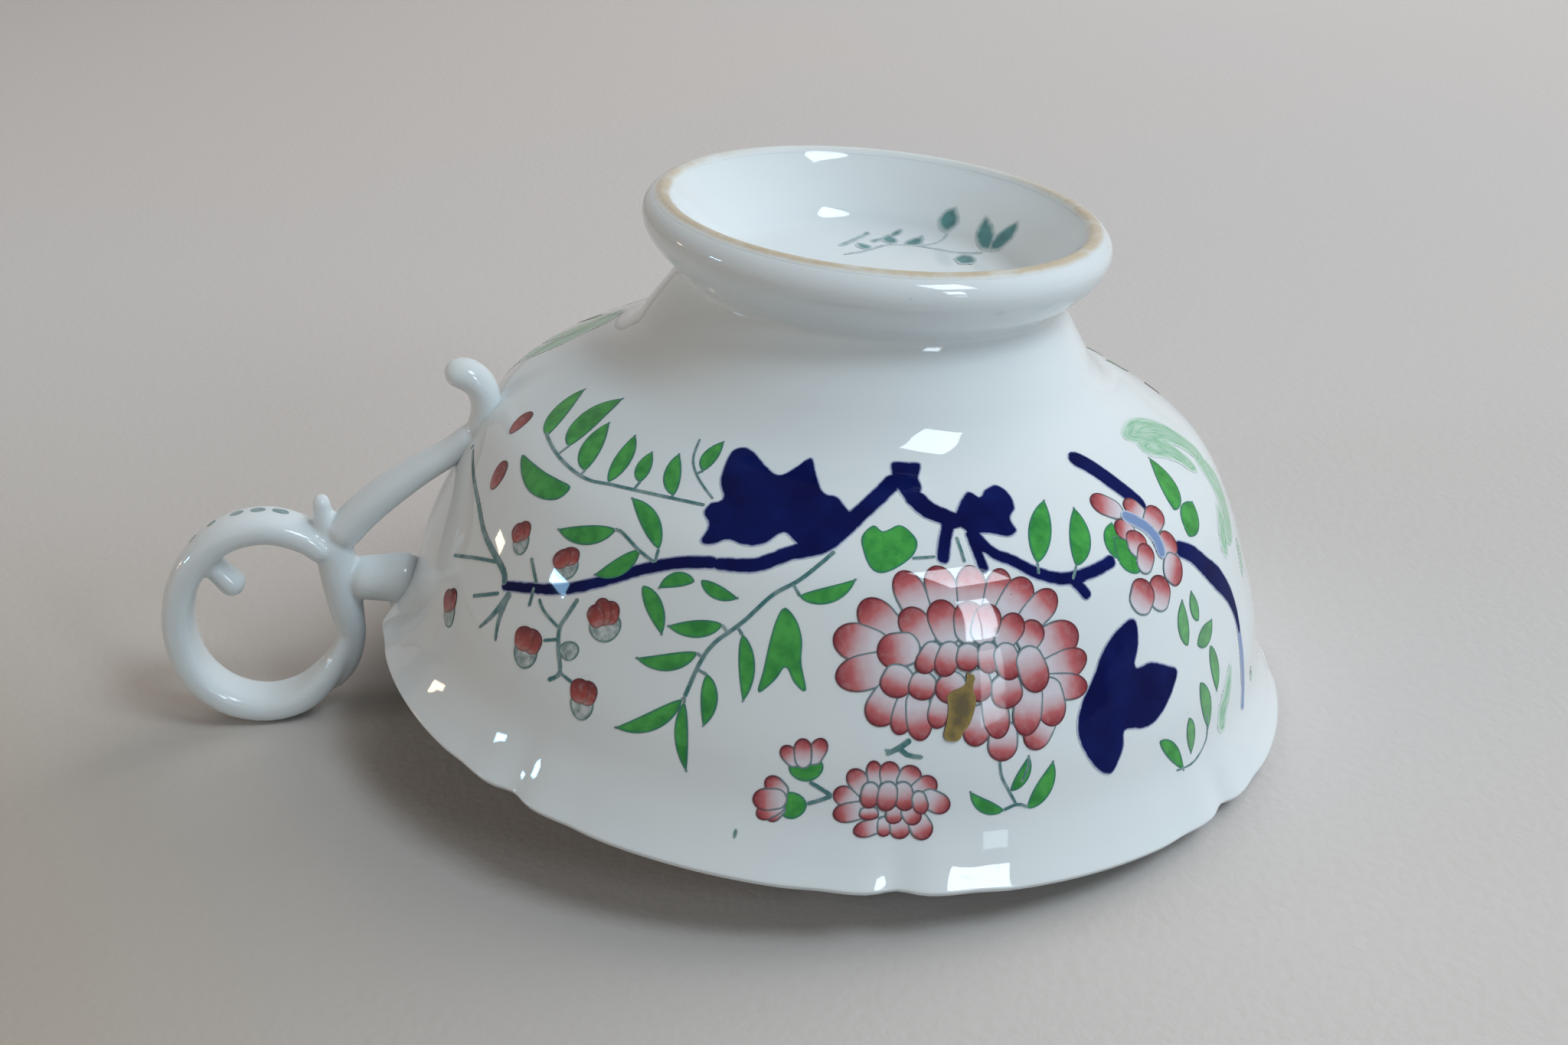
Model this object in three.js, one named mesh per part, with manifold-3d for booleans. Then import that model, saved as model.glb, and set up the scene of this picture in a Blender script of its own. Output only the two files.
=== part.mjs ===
// A low footed porcelain cup with a ring handle, lying upside down as it is stored and photographed.
// Millimetres, +Z up. The origin is the centre of the flat underside inside the foot ring, on the
// cup's axis: the foot points to +Z, the mouth opens to -Z, and the handle points to -Y.
// A half turn about X stands the cup upright. Heights in this file are measured from the rim plane.
// Each piece is one that a potter presses or casts alone and luts on with slip before the firing.

import * as THREE from "three";
import { mergeVertices } from "three/addons/utils/BufferGeometryUtils.js";
import Module from "manifold-3d";

const wasm = await Module();
wasm.setup();

// Driving dimensions
const RIM_RADIUS = 50;
const CUP_HEIGHT = 49.7;
const RECESS_DEPTH = 7.5; // from the foot's resting face to the flat underside
const NECK_RADIUS = 19.9; // where the foot ring is luted on
const FOOT_RADIUS = 24.2;
const FOOT_INNER_RADIUS = 15.2;
const RIM_THICKNESS = 1.7;
const FLOOR_THICKNESS = 3.9; // between the bottom of the well and the underside
const SLIP_GAP = 0.3; // the layer of slip between two luted pieces

// The rim has eight shallow lobes that meet in small bracket-shaped notches
const LOBES = 8;
const NOTCH_DEPTH = 0.85;
const NOTCH_HALF_WIDTH = 2.1; // degrees
const BRACKET_DEPTH = 0.2;
const BRACKET_ANGLE = 8.4; // degrees from the notch to the shallow dip beside it
const BRACKET_HALF_WIDTH = 2.4; // degrees
const LOBE_HEIGHT = 9; // the notches fade out this far from the rim

// The handle's ring is a flattened strap
const STRAP_THICKNESS = 3.4;
const STRAP_WIDTH = 6;

// Facets round the axis, and round a handle piece
const BOWL_SEGMENTS = 120;
const FOOT_SEGMENTS = 72;
const LIMB_SIDES = 12;

const RIM_Z = RECESS_DEPTH - CUP_HEIGHT;
const UNDERSIDE_HEIGHT = CUP_HEIGHT - RECESS_DEPTH;
const SEAT_HEIGHT = UNDERSIDE_HEIGHT - SLIP_GAP; // the foot ring is luted down on this seat
const WELL_HEIGHT = UNDERSIDE_HEIGHT - FLOOR_THICKNESS;

const glaze = (color, roughness) =>
  new THREE.MeshStandardMaterial({ color, roughness, metalness: 0 });
const bowlGlaze = glaze(0xe9ecf1, 0.12);
const footGlaze = glaze(0xe6e8ec, 0.14);
const handleGlaze = glaze(0xe4e7ee, 0.16);

// A closed mesh as a solid that can be joined and cut
function solidOf(geometry) {
  const bare = geometry.clone();
  bare.deleteAttribute("normal");
  bare.deleteAttribute("uv");
  const merged = mergeVertices(bare, 1e-4);
  return new wasm.Manifold(
    new wasm.Mesh({
      numProp: 3,
      vertProperties: merged.attributes.position.array,
      triVerts: new Uint32Array(merged.index.array),
    }),
  );
}

// The largest piece of a solid, as geometry: a cut can leave slivers beside it
function geometryOf(solid) {
  const largest = solid.decompose().reduce((a, b) => (a.volume() > b.volume() ? a : b));
  const { vertProperties, triVerts } = largest.getMesh();
  const geometry = new THREE.BufferGeometry();
  geometry.setAttribute("position", new THREE.BufferAttribute(vertProperties, 3));
  geometry.setIndex(new THREE.BufferAttribute(triVerts, 1));
  geometry.computeVertexNormals();
  return geometry;
}

function piece(name, geometry, material) {
  const mesh = new THREE.Mesh(geometry, material);
  mesh.name = name;
  return mesh;
}

// A smooth line through points of [radius, height]
function profile(points, steps) {
  return new THREE.SplineCurve(points.map(([r, h]) => new THREE.Vector2(r, h))).getPoints(steps);
}

// Turns a profile about the cup's axis and lifts it to its height above the rim plane
function turned(points, segments) {
  const geometry = new THREE.LatheGeometry(points, segments);
  geometry.rotateX(Math.PI / 2);
  geometry.translate(0, 0, RIM_Z);
  return geometry;
}

// The outside of the bowl, from the flared lip over the shoulder to the neck
const OUTSIDE = [
  [RIM_RADIUS, 0.7],
  [48.4, 2.9],
  [46.7, 6.2],
  [45.3, 11.4],
  [43.5, 16],
  [40.9, 21.8],
  [37.6, 26.6],
  [31.8, 30.2],
  [27.2, 32.3],
  [24.7, 34.5],
  [22.9, 37.1],
  [21.2, 39.6],
  [20.1, 41.3],
  [NECK_RADIUS, SEAT_HEIGHT],
];

// The inside, from the middle of the well back to the lip
const INSIDE = [
  [0.01, WELL_HEIGHT],
  [8, WELL_HEIGHT - 0.3],
  [14.6, WELL_HEIGHT - 1.7],
  [20.6, 33.2],
  [28.6, 29],
  [34.6, 25],
  [38.6, 20.6],
  [41.4, 15.4],
  [43.3, 10.8],
  [45, 5.8],
  [46.7, 2.6],
  [RIM_RADIUS - RIM_THICKNESS, 0.5],
];

// How far the notches draw the rim in, at an angle round the axis and a height above the rim
function notchDepth(angle, height) {
  const lobe = (2 * Math.PI) / LOBES;
  const fromNotch = Math.abs(angle - lobe * Math.round(angle / lobe));
  const degrees = THREE.MathUtils.radToDeg(fromNotch);
  const notch = NOTCH_DEPTH * Math.exp(-((degrees / NOTCH_HALF_WIDTH) ** 2));
  const beside = (degrees - BRACKET_ANGLE) / BRACKET_HALF_WIDTH;
  const bracket = BRACKET_DEPTH * Math.exp(-(beside ** 2));
  const fade = Math.max(0, 1 - height / LOBE_HEIGHT) ** 2;
  return (notch + bracket) * fade;
}

// Draws every vertex near the rim in by the notches
function lobed(geometry) {
  const position = geometry.attributes.position;
  for (let i = 0; i < position.count; i += 1) {
    const x = position.getX(i);
    const y = position.getY(i);
    const radius = Math.hypot(x, y);
    const inward = notchDepth(Math.atan2(x, -y), position.getZ(i) - RIM_Z);
    const scale = radius > 1 ? 1 - inward / radius : 1;
    position.setXY(i, x * scale, y * scale);
  }
  return geometry;
}

function bowl() {
  const inside = profile(INSIDE, 13);
  inside[0].set(0, WELL_HEIGHT);
  const lip = new THREE.Vector2(RIM_RADIUS - RIM_THICKNESS / 2, 0);
  const outside = profile(OUTSIDE, 20);
  // A low pad inside the foot ring centres it, and its flat face is the underside
  const padRadius = FOOT_INNER_RADIUS - SLIP_GAP;
  const pad = [
    new THREE.Vector2(padRadius, SEAT_HEIGHT),
    new THREE.Vector2(padRadius, UNDERSIDE_HEIGHT),
    new THREE.Vector2(0, UNDERSIDE_HEIGHT),
  ];
  const geometry = turned([...inside, lip, ...outside, ...pad], BOWL_SEGMENTS);
  return piece("bowl", lobed(geometry), bowlGlaze);
}

// The spreading foot: a hollow ring with a rolled edge and a narrow flat face to rest on
const FOOT_SECTION = [
  [FOOT_INNER_RADIUS, UNDERSIDE_HEIGHT],
  [16.5, 44.2],
  [18.6, 46.3],
  [20.5, 48.3],
  [21.3, CUP_HEIGHT - 0.4],
  [21.7, CUP_HEIGHT],
  [22.8, CUP_HEIGHT],
  [23.5, CUP_HEIGHT - 0.7],
  [24, CUP_HEIGHT - 1.4],
  [FOOT_RADIUS - 0.05, CUP_HEIGHT - 2.2],
  [23.9, CUP_HEIGHT - 3.3],
  [23.2, CUP_HEIGHT - 4.5],
  [22.1, CUP_HEIGHT - 5.7],
  [21, CUP_HEIGHT - 6.6],
  [20.2, CUP_HEIGHT - 7.25],
  [NECK_RADIUS, UNDERSIDE_HEIGHT],
];

function footRing() {
  const section = FOOT_SECTION.map(([r, h]) => new THREE.Vector2(r, h));
  section.push(section[0].clone());
  section.reverse();
  return piece("foot_ring", turned(section, FOOT_SEGMENTS), footGlaze);
}

// A point of the handle's own plane, from its distance to the cup's axis and its height
const inHandlePlane = ([distance, height]) => new THREE.Vector3(0, -distance, RIM_Z + height);

// A tapered limb of the handle. Its route runs through points of the handle's plane, and thickness
// gives its size in that plane at even steps. width is its size across the plane as a share of it.
// roundEnds says whether the start and the end are domed, and grow thickens the limb all over.
function limb({ route, thickness, width = 1, roundEnds = [true, true], steps = 14 }, grow = 0) {
  const curve = new THREE.CatmullRomCurve3(route.map(inHandlePlane), false, "centripetal");
  const length = curve.getLength();
  const sizes = new THREE.SplineCurve(thickness.map((t, i) => new THREE.Vector2(i, t)));
  const radiusAt = (t) => sizes.getPoint(t).y / 2;
  const sizeAt = (t) => {
    const fromStart = roundEnds[0] ? Math.min(1, (t * length) / radiusAt(0)) : 1;
    const fromEnd = roundEnds[1] ? Math.min(1, ((1 - t) * length) / radiusAt(1)) : 1;
    const dome = (share) => Math.sqrt(Math.max(0, 1 - (1 - share) ** 2));
    return radiusAt(t) * Math.min(dome(fromStart), dome(fromEnd)) + grow;
  };
  const stations = [];
  for (let i = 0; i <= steps; i += 1) {
    // Stations crowd towards both ends, where the domes are
    stations.push(i / steps - (0.5 * Math.sin((2 * Math.PI * i) / steps)) / Math.PI);
  }
  const section = stations.map((t) => new THREE.Vector2(Math.max(sizeAt(t), 0.05), t));
  const closed = [new THREE.Vector2(0, 0), ...section, new THREE.Vector2(0, 1)];
  const geometry = new THREE.LatheGeometry(closed, LIMB_SIDES);
  const position = geometry.attributes.position;
  const across = new THREE.Vector3(1, 0, 0);
  for (let i = 0; i < position.count; i += 1) {
    const t = THREE.MathUtils.clamp(position.getY(i), 0, 1);
    const tangent = curve.getTangentAt(t);
    const normal = new THREE.Vector3().crossVectors(across, tangent);
    const point = curve
      .getPointAt(t)
      .addScaledVector(across, position.getX(i) * width)
      .addScaledVector(normal, position.getZ(i));
    position.setXYZ(i, point.x, point.y, point.z);
  }
  return solidOf(geometry);
}

// The handle's limbs, as they lie in its plane
const RING = {
  route: [
    [55.6, 7],
    [57.9, 9.2],
    [62.4, 10.4],
    [67.2, 8.8],
    [70.9, 4.3],
    [72.1, -1.6],
    [70.8, -7.2],
    [67.4, -10.7],
    [63, -11.7],
    [59, -10.4],
    [56.2, -7.4],
    [54.8, -3.4],
  ],
  thickness: [3, 3.3, STRAP_THICKNESS, STRAP_THICKNESS, STRAP_THICKNESS, 3.1, 2.6],
  width: STRAP_WIDTH / STRAP_THICKNESS,
  steps: 44,
};
const STEM = {
  route: [
    [55.6, 10.2],
    [55, 6],
    [54.2, 1.4],
    [53.5, -3],
    [54.1, -6.6],
    [55.9, -9.4],
  ],
  thickness: [3.9, 4.2, 4, 3.2, 2.4, 1.6],
  width: 1.15,
};
const ARM = {
  route: [
    [55.2, 8.6],
    [52.8, 11.8],
    [49.8, 14.8],
    [46.2, 17.7],
    [42.9, 20],
    [40.2, 22.6],
  ],
  thickness: [3.9, 3.9, 3.8, 3.4, 3, 2.8],
  width: 1.2,
};
const SCROLL = {
  route: [
    [40.4, 21.6],
    [39.4, 24.6],
    [39.8, 27.4],
    [41.6, 28.9],
    [43.6, 28.3],
  ],
  thickness: [2.8, 3.1, 3.3, 3.4, 3],
  width: 1.25,
};
const SPUR = {
  route: [
    [55.8, 8.6],
    [56.4, 11.6],
    [56.6, 14.3],
  ],
  thickness: [2.8, 2.7, 2.5],
  width: 1.2,
  steps: 10,
};
const BUD = {
  route: [
    [69.3, 7.4],
    [67.8, 5],
    [65.2, 2.3],
  ],
  thickness: [2, 2.2, 2.9],
  width: 1.2,
  steps: 10,
};
const STUB = {
  route: [
    [54.2, 4.6],
    [50.8, 4.5],
    [46.4, 4.8],
  ],
  thickness: [5.2, 5, 5.6],
  width: 1.05,
  roundEnds: [false, false],
  steps: 10,
};

// The outside of the bowl with the slip on it, as one full solid that trims what is luted to it
function slipCoveredBowl() {
  const outside = profile(OUTSIDE, 20);
  const full = [new THREE.Vector2(0, -1), new THREE.Vector2(RIM_RADIUS, -1), ...outside];
  full.push(new THREE.Vector2(0, UNDERSIDE_HEIGHT));
  const grown = full.map((p) => new THREE.Vector2(p.x > 0 ? p.x + SLIP_GAP * 1.15 : 0, p.y));
  return solidOf(turned(grown, BOWL_SEGMENTS));
}

function handle() {
  const slipBowl = slipCoveredBowl();
  const slipStem = limb(STEM, SLIP_GAP);
  const slipRing = limb(RING, SLIP_GAP);
  const slipArm = limb(ARM, SLIP_GAP);
  const stem = limb(STEM);
  const ring = limb(RING).subtract(slipStem);
  const arm = limb(ARM).subtract(slipStem).subtract(slipRing).subtract(slipBowl);
  const scroll = limb(SCROLL).subtract(slipArm).subtract(slipBowl);
  const spur = limb(SPUR).subtract(slipStem).subtract(slipRing).subtract(slipArm);
  const bud = limb(BUD).subtract(slipRing);
  const stub = limb(STUB).subtract(slipStem).subtract(slipRing).subtract(slipBowl);
  const group = new THREE.Group();
  group.name = "handle";
  group.add(piece("handle_ring", geometryOf(ring), handleGlaze));
  group.add(piece("handle_stem", geometryOf(stem), handleGlaze));
  group.add(piece("handle_arm", geometryOf(arm), handleGlaze));
  group.add(piece("arm_scroll", geometryOf(scroll), handleGlaze));
  group.add(piece("ring_spur", geometryOf(spur), handleGlaze));
  group.add(piece("ring_bud", geometryOf(bud), handleGlaze));
  group.add(piece("handle_stub", geometryOf(stub), handleGlaze));
  return group;
}

const cup = new THREE.Group();
cup.name = "cup";
cup.add(bowl());
cup.add(footRing());
cup.add(handle());

export default cup;
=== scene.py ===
import math
from collections import namedtuple

import bpy
import numpy as np
from bpy.props import FloatProperty, FloatVectorProperty, IntProperty, PointerProperty
from mathutils import Matrix, Vector
from mathutils.bvhtree import BVHTree
from mathutils.geometry import delaunay_2d_cdt


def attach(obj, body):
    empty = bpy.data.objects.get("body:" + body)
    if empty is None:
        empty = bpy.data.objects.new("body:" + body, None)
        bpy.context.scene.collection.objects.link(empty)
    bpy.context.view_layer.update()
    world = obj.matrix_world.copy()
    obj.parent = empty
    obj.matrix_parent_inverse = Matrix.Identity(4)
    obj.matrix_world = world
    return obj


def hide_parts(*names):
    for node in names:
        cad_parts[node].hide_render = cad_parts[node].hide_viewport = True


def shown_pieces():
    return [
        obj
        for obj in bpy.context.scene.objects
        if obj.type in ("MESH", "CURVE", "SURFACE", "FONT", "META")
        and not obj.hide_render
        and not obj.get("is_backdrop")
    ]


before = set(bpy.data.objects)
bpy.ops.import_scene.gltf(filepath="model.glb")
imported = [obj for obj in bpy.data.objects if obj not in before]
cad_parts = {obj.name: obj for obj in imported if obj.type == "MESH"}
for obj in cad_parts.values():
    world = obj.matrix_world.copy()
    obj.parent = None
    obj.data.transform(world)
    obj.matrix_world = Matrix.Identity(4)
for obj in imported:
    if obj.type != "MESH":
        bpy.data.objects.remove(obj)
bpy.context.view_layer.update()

bl_info = {
    "name": "Footed porcelain cup",
    "version": (1, 0, 0),
    "blender": (4, 5, 0),
    "location": "3D View > Sidebar > Cup",
    "description": "Builds a painted porcelain cup with a ring handle round its packed model",
    "category": "Add Mesh",
}

MM = 0.001

# Sizes of the cup
CUP_HEIGHT = 49.7
RECESS_DEPTH = 7.5
RIM_Z = RECESS_DEPTH - CUP_HEIGHT
# The rim's lobes and how far up the wall they reach
LOBES = 8
LOBE_HEIGHT = 9
# Width of a notch in the rim, in degrees, and the shallow dip on each side of it: how far off it
# lies, how wide it is, and its depth as a share of the notch's
NOTCH_WIDTH = 2.1
DIP_TURN = 8.4
DIP_WIDTH = 2.4
DIP_SHARE = 0.24

# The inside of the bowl as radius and height, from the middle of the well to the lip
INSIDE = [
    (0, 38.3), (8, 38), (14.6, 36.6), (20.6, 33.2), (28.6, 29), (34.6, 25), (38.6, 20.6),
    (41.4, 15.4), (43.3, 10.8), (45, 5.8), (46.7, 2.6), (48.3, 0.5),
]
LIP = [(48.6, 0.14), (49.15, 0), (49.7, 0.16)]
# The outside of the wall, from the lip over the shoulder to the neck
OUTSIDE = [
    (50, 0.7), (48.4, 2.9), (46.7, 6.2), (45.3, 11.4), (43.5, 16), (40.9, 21.8), (37.6, 26.6),
    (31.8, 30.2), (27.2, 32.3), (24.7, 34.5), (22.9, 37.1), (21.2, 39.6), (20.1, 41.3),
    (19.95, 41.9),
]
# The rolled foot, from the neck over its resting edge to the recess
FOOT = [
    (20.25, 42.45), (21, 43.1), (22.1, 44), (23.2, 45.2), (23.9, 46.4), (24.15, 47.5),
    (23.95, 48.4), (23.4, 49.1), (22.7, 49.55), (22.1, 49.7), (21.5, 49.45), (20.6, 48.4),
    (18.6, 46.3), (16.6, 44.3), (15.4, 43), (14, 42.35),
]
RECESS = [(12, 42.2), (6, 42.2), (0, 42.2)]
# The whole outer line, from the lip to the middle of the recess
OVER = OUTSIDE + FOOT + RECESS
# Rows of faces between two points of these lines
ROWS_INSIDE = 5
ROWS_OUTSIDE = 8
ROWS_FOOT = 5

# The handle's limbs: the route of each in the plane of the handle, as distance from the axis and
# height, its thickness along the route, and its width across the plane as a share of that
RING = dict(
    route=[
        (55.6, 7), (57.9, 9.2), (62.4, 10.4), (67.2, 8.8), (70.9, 4.3), (72.1, -1.6), (70.8, -7.2),
        (67.4, -10.7), (63, -11.7), (59, -10.4), (56.2, -7.6), (54.6, -4.6), (53.8, -1.6),
    ],
    thickness=[3, 3.3, 3.4, 3.4, 3.4, 3.3, 3.2, 1.8],
    width=1.76,
    squareness=2.6,
)
STEM = dict(
    route=[(55.6, 10.2), (55, 6), (54.2, 1.4), (53.5, -3), (54.1, -6.6), (55.9, -9.4)],
    thickness=[3.9, 4.2, 4, 3.2, 2.4, 1.6],
    width=1.15,
)
ARM = dict(
    route=[(55.2, 8.6), (52.8, 11.8), (49.8, 14.8), (46.2, 17.7), (42.9, 20), (40.2, 22.6)],
    thickness=[3.9, 3.9, 3.8, 3.4, 3, 2.8],
    width=1.2,
)
SCROLL = dict(
    route=[(40.4, 21.6), (39.4, 24.6), (39.8, 27.4), (41.6, 28.9), (43.6, 28.3)],
    thickness=[2.8, 3.1, 3.3, 3.4, 3],
    width=1.25,
)
SPUR = dict(route=[(55.8, 8.6), (56.4, 11.6), (56.6, 14.3)], thickness=[2.7, 2.3, 1.7], width=1.3)
BUD = dict(route=[(69.3, 7.4), (67.8, 5), (65.2, 2.3)], thickness=[2.5, 2.7, 3.2], width=1.2)
STUB = dict(
    route=[(54.2, 4.6), (50.8, 4.5), (46.4, 4.8), (45.6, 4.8)],
    thickness=[5.2, 5, 5.6, 6.8],
    width=1.05,
)
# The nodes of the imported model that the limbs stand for
HANDLE = {
    "handle_ring": RING, "handle_stem": STEM, "handle_arm": ARM, "arm_scroll": SCROLL,
    "ring_spur": SPUR, "ring_bud": BUD, "handle_stub": STUB,
}
LIMB_ROWS = 60
LIMB_SIDES = 24
# Steps of a limb's route and of its thicknesses before they are spaced out evenly
LIMB_STEPS = 400
SIZE_STEPS = 200
# The narrowest row of a limb's domed ends, as a share of its width
LIMB_END_LEAST = 1e-3
FILLET_STRENGTH = 0.5

# The painted spray, the same on both sides of the bowl. Places are pairs of turn in degrees and
# millimetres up the outside of the wall from the rim. It is a traditional spray of blue branches,
# peonies and small leaves, printed in outline and filled in by hand.
SPRAY_TURNS = (0, 180)

# Strokes: width in millimetres, one or several along the stroke, and the places it goes through
COBALT_STROKES = [
    ((1.2, 1.3, 1.4), [
        (32.4, 17.2), (35.5, 18.1), (39.2, 19.1), (42.7, 20.1), (45.4, 21.1), (49.2, 22.8),
        (52.8, 24.5), (56.4, 25.9), (60.1, 26.9), (63.9, 27.5),
    ]),
    ((1.4, 1.9), [(63, 27.3), (64.6, 27.5), (69, 28.1), (73.2, 29.8), (77.4, 31), (80.5, 33.2)]),
    (1.9, [(80.6, 33.2), (82, 34.6), (85.9, 37.4), (89.3, 39.9)]),
    ((2.3, 2.2, 1.9), [(91.6, 38.2), (91.9, 37.2), (93.9, 35.8), (97.1, 34.8), (99.1, 34)]),
    (1.4, [(97, 34.6), (95.5, 32.3), (94.6, 29.9)]),
    (1.2, [(99.8, 33.5), (100.1, 31.2), (100.6, 28.9)]),
    (1.4, [
        (100.3, 33.3), (101.4, 31.8), (103, 30.7), (104.9, 30.1), (107, 29.1), (108.8, 28.4),
        (112.5, 27.6), (117.3, 27.7), (122.3, 28.3),
    ]),
    (1.3, [(113.5, 27.5), (114.9, 26.4), (115.9, 25.3)]),
    ((2.6, 2.4, 2.1), [(128.3, 40.1), (130.6, 38.6), (132.2, 36.2), (133.5, 34.1), (134.5, 31.5)]),
    ((1.8, 2.3, 2.9, 2.1, 0.9), [
        (135.5, 27), (139.3, 25.4), (142.3, 23.2), (145.3, 21), (147.8, 18.6), (148.8, 16.3),
        (148.6, 14),
    ]),
]
BLUE_TRAIL = (
    (1.1, 1.5, 1.2), [(148.8, 16.3), (148.4, 13.6), (147.8, 11.2), (147.6, 8.6), (146.4, 6.3)]
)
PALE_STROKES = [
    ((2, 4.4, 4, 3.4), [(147.9, 38.6), (156.7, 37.3), (162.4, 35.1), (164.1, 32.1), (162.8, 29.6)]),
    ((2.4, 3.8, 2.6), [(148.4, 36.8), (155, 35), (157, 32.5), (156.3, 30.4)]),
    ((3.8, 4.8, 3.6, 2.4), [(163, 31), (161, 27.5), (157.9, 24.4), (153.8, 22.4)]),
    ((1.4, 3, 2.2), [(155.8, 26.8), (153.9, 24.9), (151.4, 23.2), (150.6, 21.8)]),
    ((2.6, 1.8), [(160.7, 21), (159.3, 19.1), (157.3, 17.6)]),
    ((1, 2.4, 2), [(143.3, 12.7), (141.1, 10.1), (139.5, 8.6), (139, 6.5)]),
    (1.3, [(152.6, 8.9), (153, 7.2)]),
]
STEMS = [
    (0.36, [(58.3, 32.7), (51.2, 32.2), (42.9, 31.3), (37.3, 30.5), (29.4, 30.8), (21.8, 31.7)]),
    (0.24, [(59, 33.6), (54.5, 35.4), (51.4, 37.2), (49.3, 39.8)]),
    (0.32, [(55.1, 25.9), (52.5, 26.4), (48.7, 27.4), (47.3, 27.4)]),
    (0.32, [(55.2, 25.9), (55, 27.2)]),
    (0.4, [
        (79.3, 30.6), (75.4, 27.6), (72, 25.7), (69, 22.9), (65.9, 20.4), (64.6, 18.2), (63.7, 15),
    ]),
    (0.44, [(46, 20.1), (45.2, 18.2), (44.7, 16.8), (45.5, 15), (46.8, 13), (45.4, 11.8)]),
    (0.32, [(45.1, 15.8), (42.9, 15)]),
    (0.32, [(44.5, 16.8), (41.4, 17.5), (39.9, 18.3)]),
    (0.32, [(46.8, 13), (49.3, 12.6)]),
    ((0.8, 0.6, 0.35), [(32.9, 17.4), (31.4, 18.6), (24.3, 20), (18, 21.8), (6.4, 23.7)]),
    (0.4, [(30.1, 18.9), (24.6, 17.4), (18.8, 15.5)]),
    (0.4, [(32.5, 16.4), (27.6, 14.3)]),
    ((0.9, 0.3), [(34.6, 17.2), (33.1, 14.4), (31.2, 12.2)]),
    ((0.8, 0.3), [(34.3, 16.7), (34.4, 14.2), (35.1, 12.2)]),
    (0.36, [(35.9, 21.3), (38.6, 19.4)]),
    (0.36, [(38.4, 19), (38.7, 17.1)]),
    ((0.6, 0.45), [(90.6, 14.1), (89.2, 13.3), (87.8, 12.7)]),
    ((0.5, 0.4), [(89.3, 13.3), (90.3, 12.7), (92.1, 12.5)]),
    (0.24, [(88.5, 13), (87.6, 13.1)]),
    (0.28, [(101.3, 11.9), (101.6, 10.4), (102.6, 8.9), (103.5, 7.6)]),
    (0.24, [(105, 12.1), (104.9, 11), (104.1, 9.6)]),
    (0.32, [(102, 7.1), (103.7, 7.5), (105, 7.1)]),
    (0.4, [(79.5, 9.6), (80.8, 9.1), (82.2, 8.5)]),
    (0.4, [(79.5, 7.5), (80.7, 7.9), (82.2, 8.5)]),
    (0.2, [(127.8, 6.1), (131.5, 6), (134.8, 7.3), (135.1, 9.9)]),
    (0.32, [(90.3, 30.5), (93.7, 30.7)]),
    (0.32, [(97.5, 32.8), (97.9, 30.1)]),
    (0.28, [(109, 29.5), (108.6, 28.4)]),
    (0.28, [(115.1, 28.6), (113.8, 27.4)]),
]
FLOWER_BAND = ((1.7, 1.4), [(128.4, 32.2), (131.3, 30.3), (132.2, 28.4), (131.7, 26.6)])

# Outlines filled with one pigment
BRANCH_KNOT = [
    (88.1, 41.4), (91.4, 41.6), (94.4, 41.4), (93.5, 39.8), (93.6, 38.3), (91.9, 36.8),
    (90.3, 36.8), (89.2, 37.7), (88.3, 39.3),
]
BIG_LEAF = [
    (58.4, 35.6), (57.4, 37.4), (56.8, 39.6), (58.4, 40.5), (61, 40.3), (64.8, 38.9), (67.6, 38.2),
    (69.5, 39.3), (71.4, 40.7), (72.8, 40.9), (74.3, 39), (76.2, 37), (78.6, 36.7), (80.4, 35.5),
    (81.5, 34.7), (82.4, 33.4), (80.8, 32), (78.7, 30.6), (74.2, 30.7), (71.9, 31.6), (71, 31.4),
    (69.7, 30.3), (67.8, 29.7), (66.2, 29.6), (64, 29.7), (61.9, 28.8), (60.2, 29), (60.3, 30.7),
    (58.6, 31.9), (58.8, 33.1), (60.3, 33.9),
]
SMALL_LEAF = [
    (98.2, 35.3), (100.9, 37.6), (102.4, 37.9), (103.7, 37.2), (105.1, 38), (107.9, 38.5),
    (109.6, 37.4), (109.4, 35.5), (107.7, 34.4), (107.8, 32.9), (105.9, 32.4), (102.8, 32.9),
    (99.2, 33.3),
]
THREE_LOBED_LEAF = [
    (122.3, 22.6), (123.3, 21.8), (122.9, 19.8), (121.9, 18), (124.7, 17.9), (127.3, 17.1),
    (129.7, 16), (128.5, 14.5), (126.5, 13.1), (124.4, 12.1), (122.2, 11.8), (120, 12.2),
    (118.8, 12.2), (118.5, 10.6), (116.9, 8.6), (115.4, 8.7), (113.7, 9.9), (112.1, 12),
    (111.6, 13.8), (112.4, 15.9), (114.5, 18.1), (116.6, 20.4), (119.3, 21.9),
]
HEART_LEAF = [
    (84.7, 33.8), (86, 33.2), (87.2, 33.5), (88.6, 34), (90, 33.6), (91.3, 32.3), (90.6, 30.9),
    (88.6, 29.7), (86.1, 28.9), (84.5, 29.3), (83.4, 30.8), (83, 32.5),
]
HALF_MOON_LEAF = [
    (22.2, 28.5), (25.1, 27.2), (28.9, 26.4), (32.8, 26.6), (35.6, 27.5), (36.1, 29), (33.2, 29),
    (29.7, 28.8), (25.2, 28.7),
]
DOUBLE_LEAF = [
    (73.9, 24.8), (75.6, 23.8), (76.6, 22.2), (76.9, 20.2), (77.9, 17.7), (76.4, 18.3),
    (75.1, 19.6), (74.1, 18.3), (72.3, 16.9), (72.5, 19.1), (72.7, 21.7), (73.1, 23.8),
]
GILT_SMEAR = [
    (97.2, 20.1), (98.2, 19.7), (97.9, 18.7), (98.3, 17.6), (98, 16.4), (97.4, 15.3),
    (96.7, 14.7), (96.2, 14), (94.9, 14), (94.4, 14.5), (94.7, 15.6), (94.9, 17), (94.7, 18),
    (95.4, 18.5), (96.7, 18.9), (97.1, 19.4),
]

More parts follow.
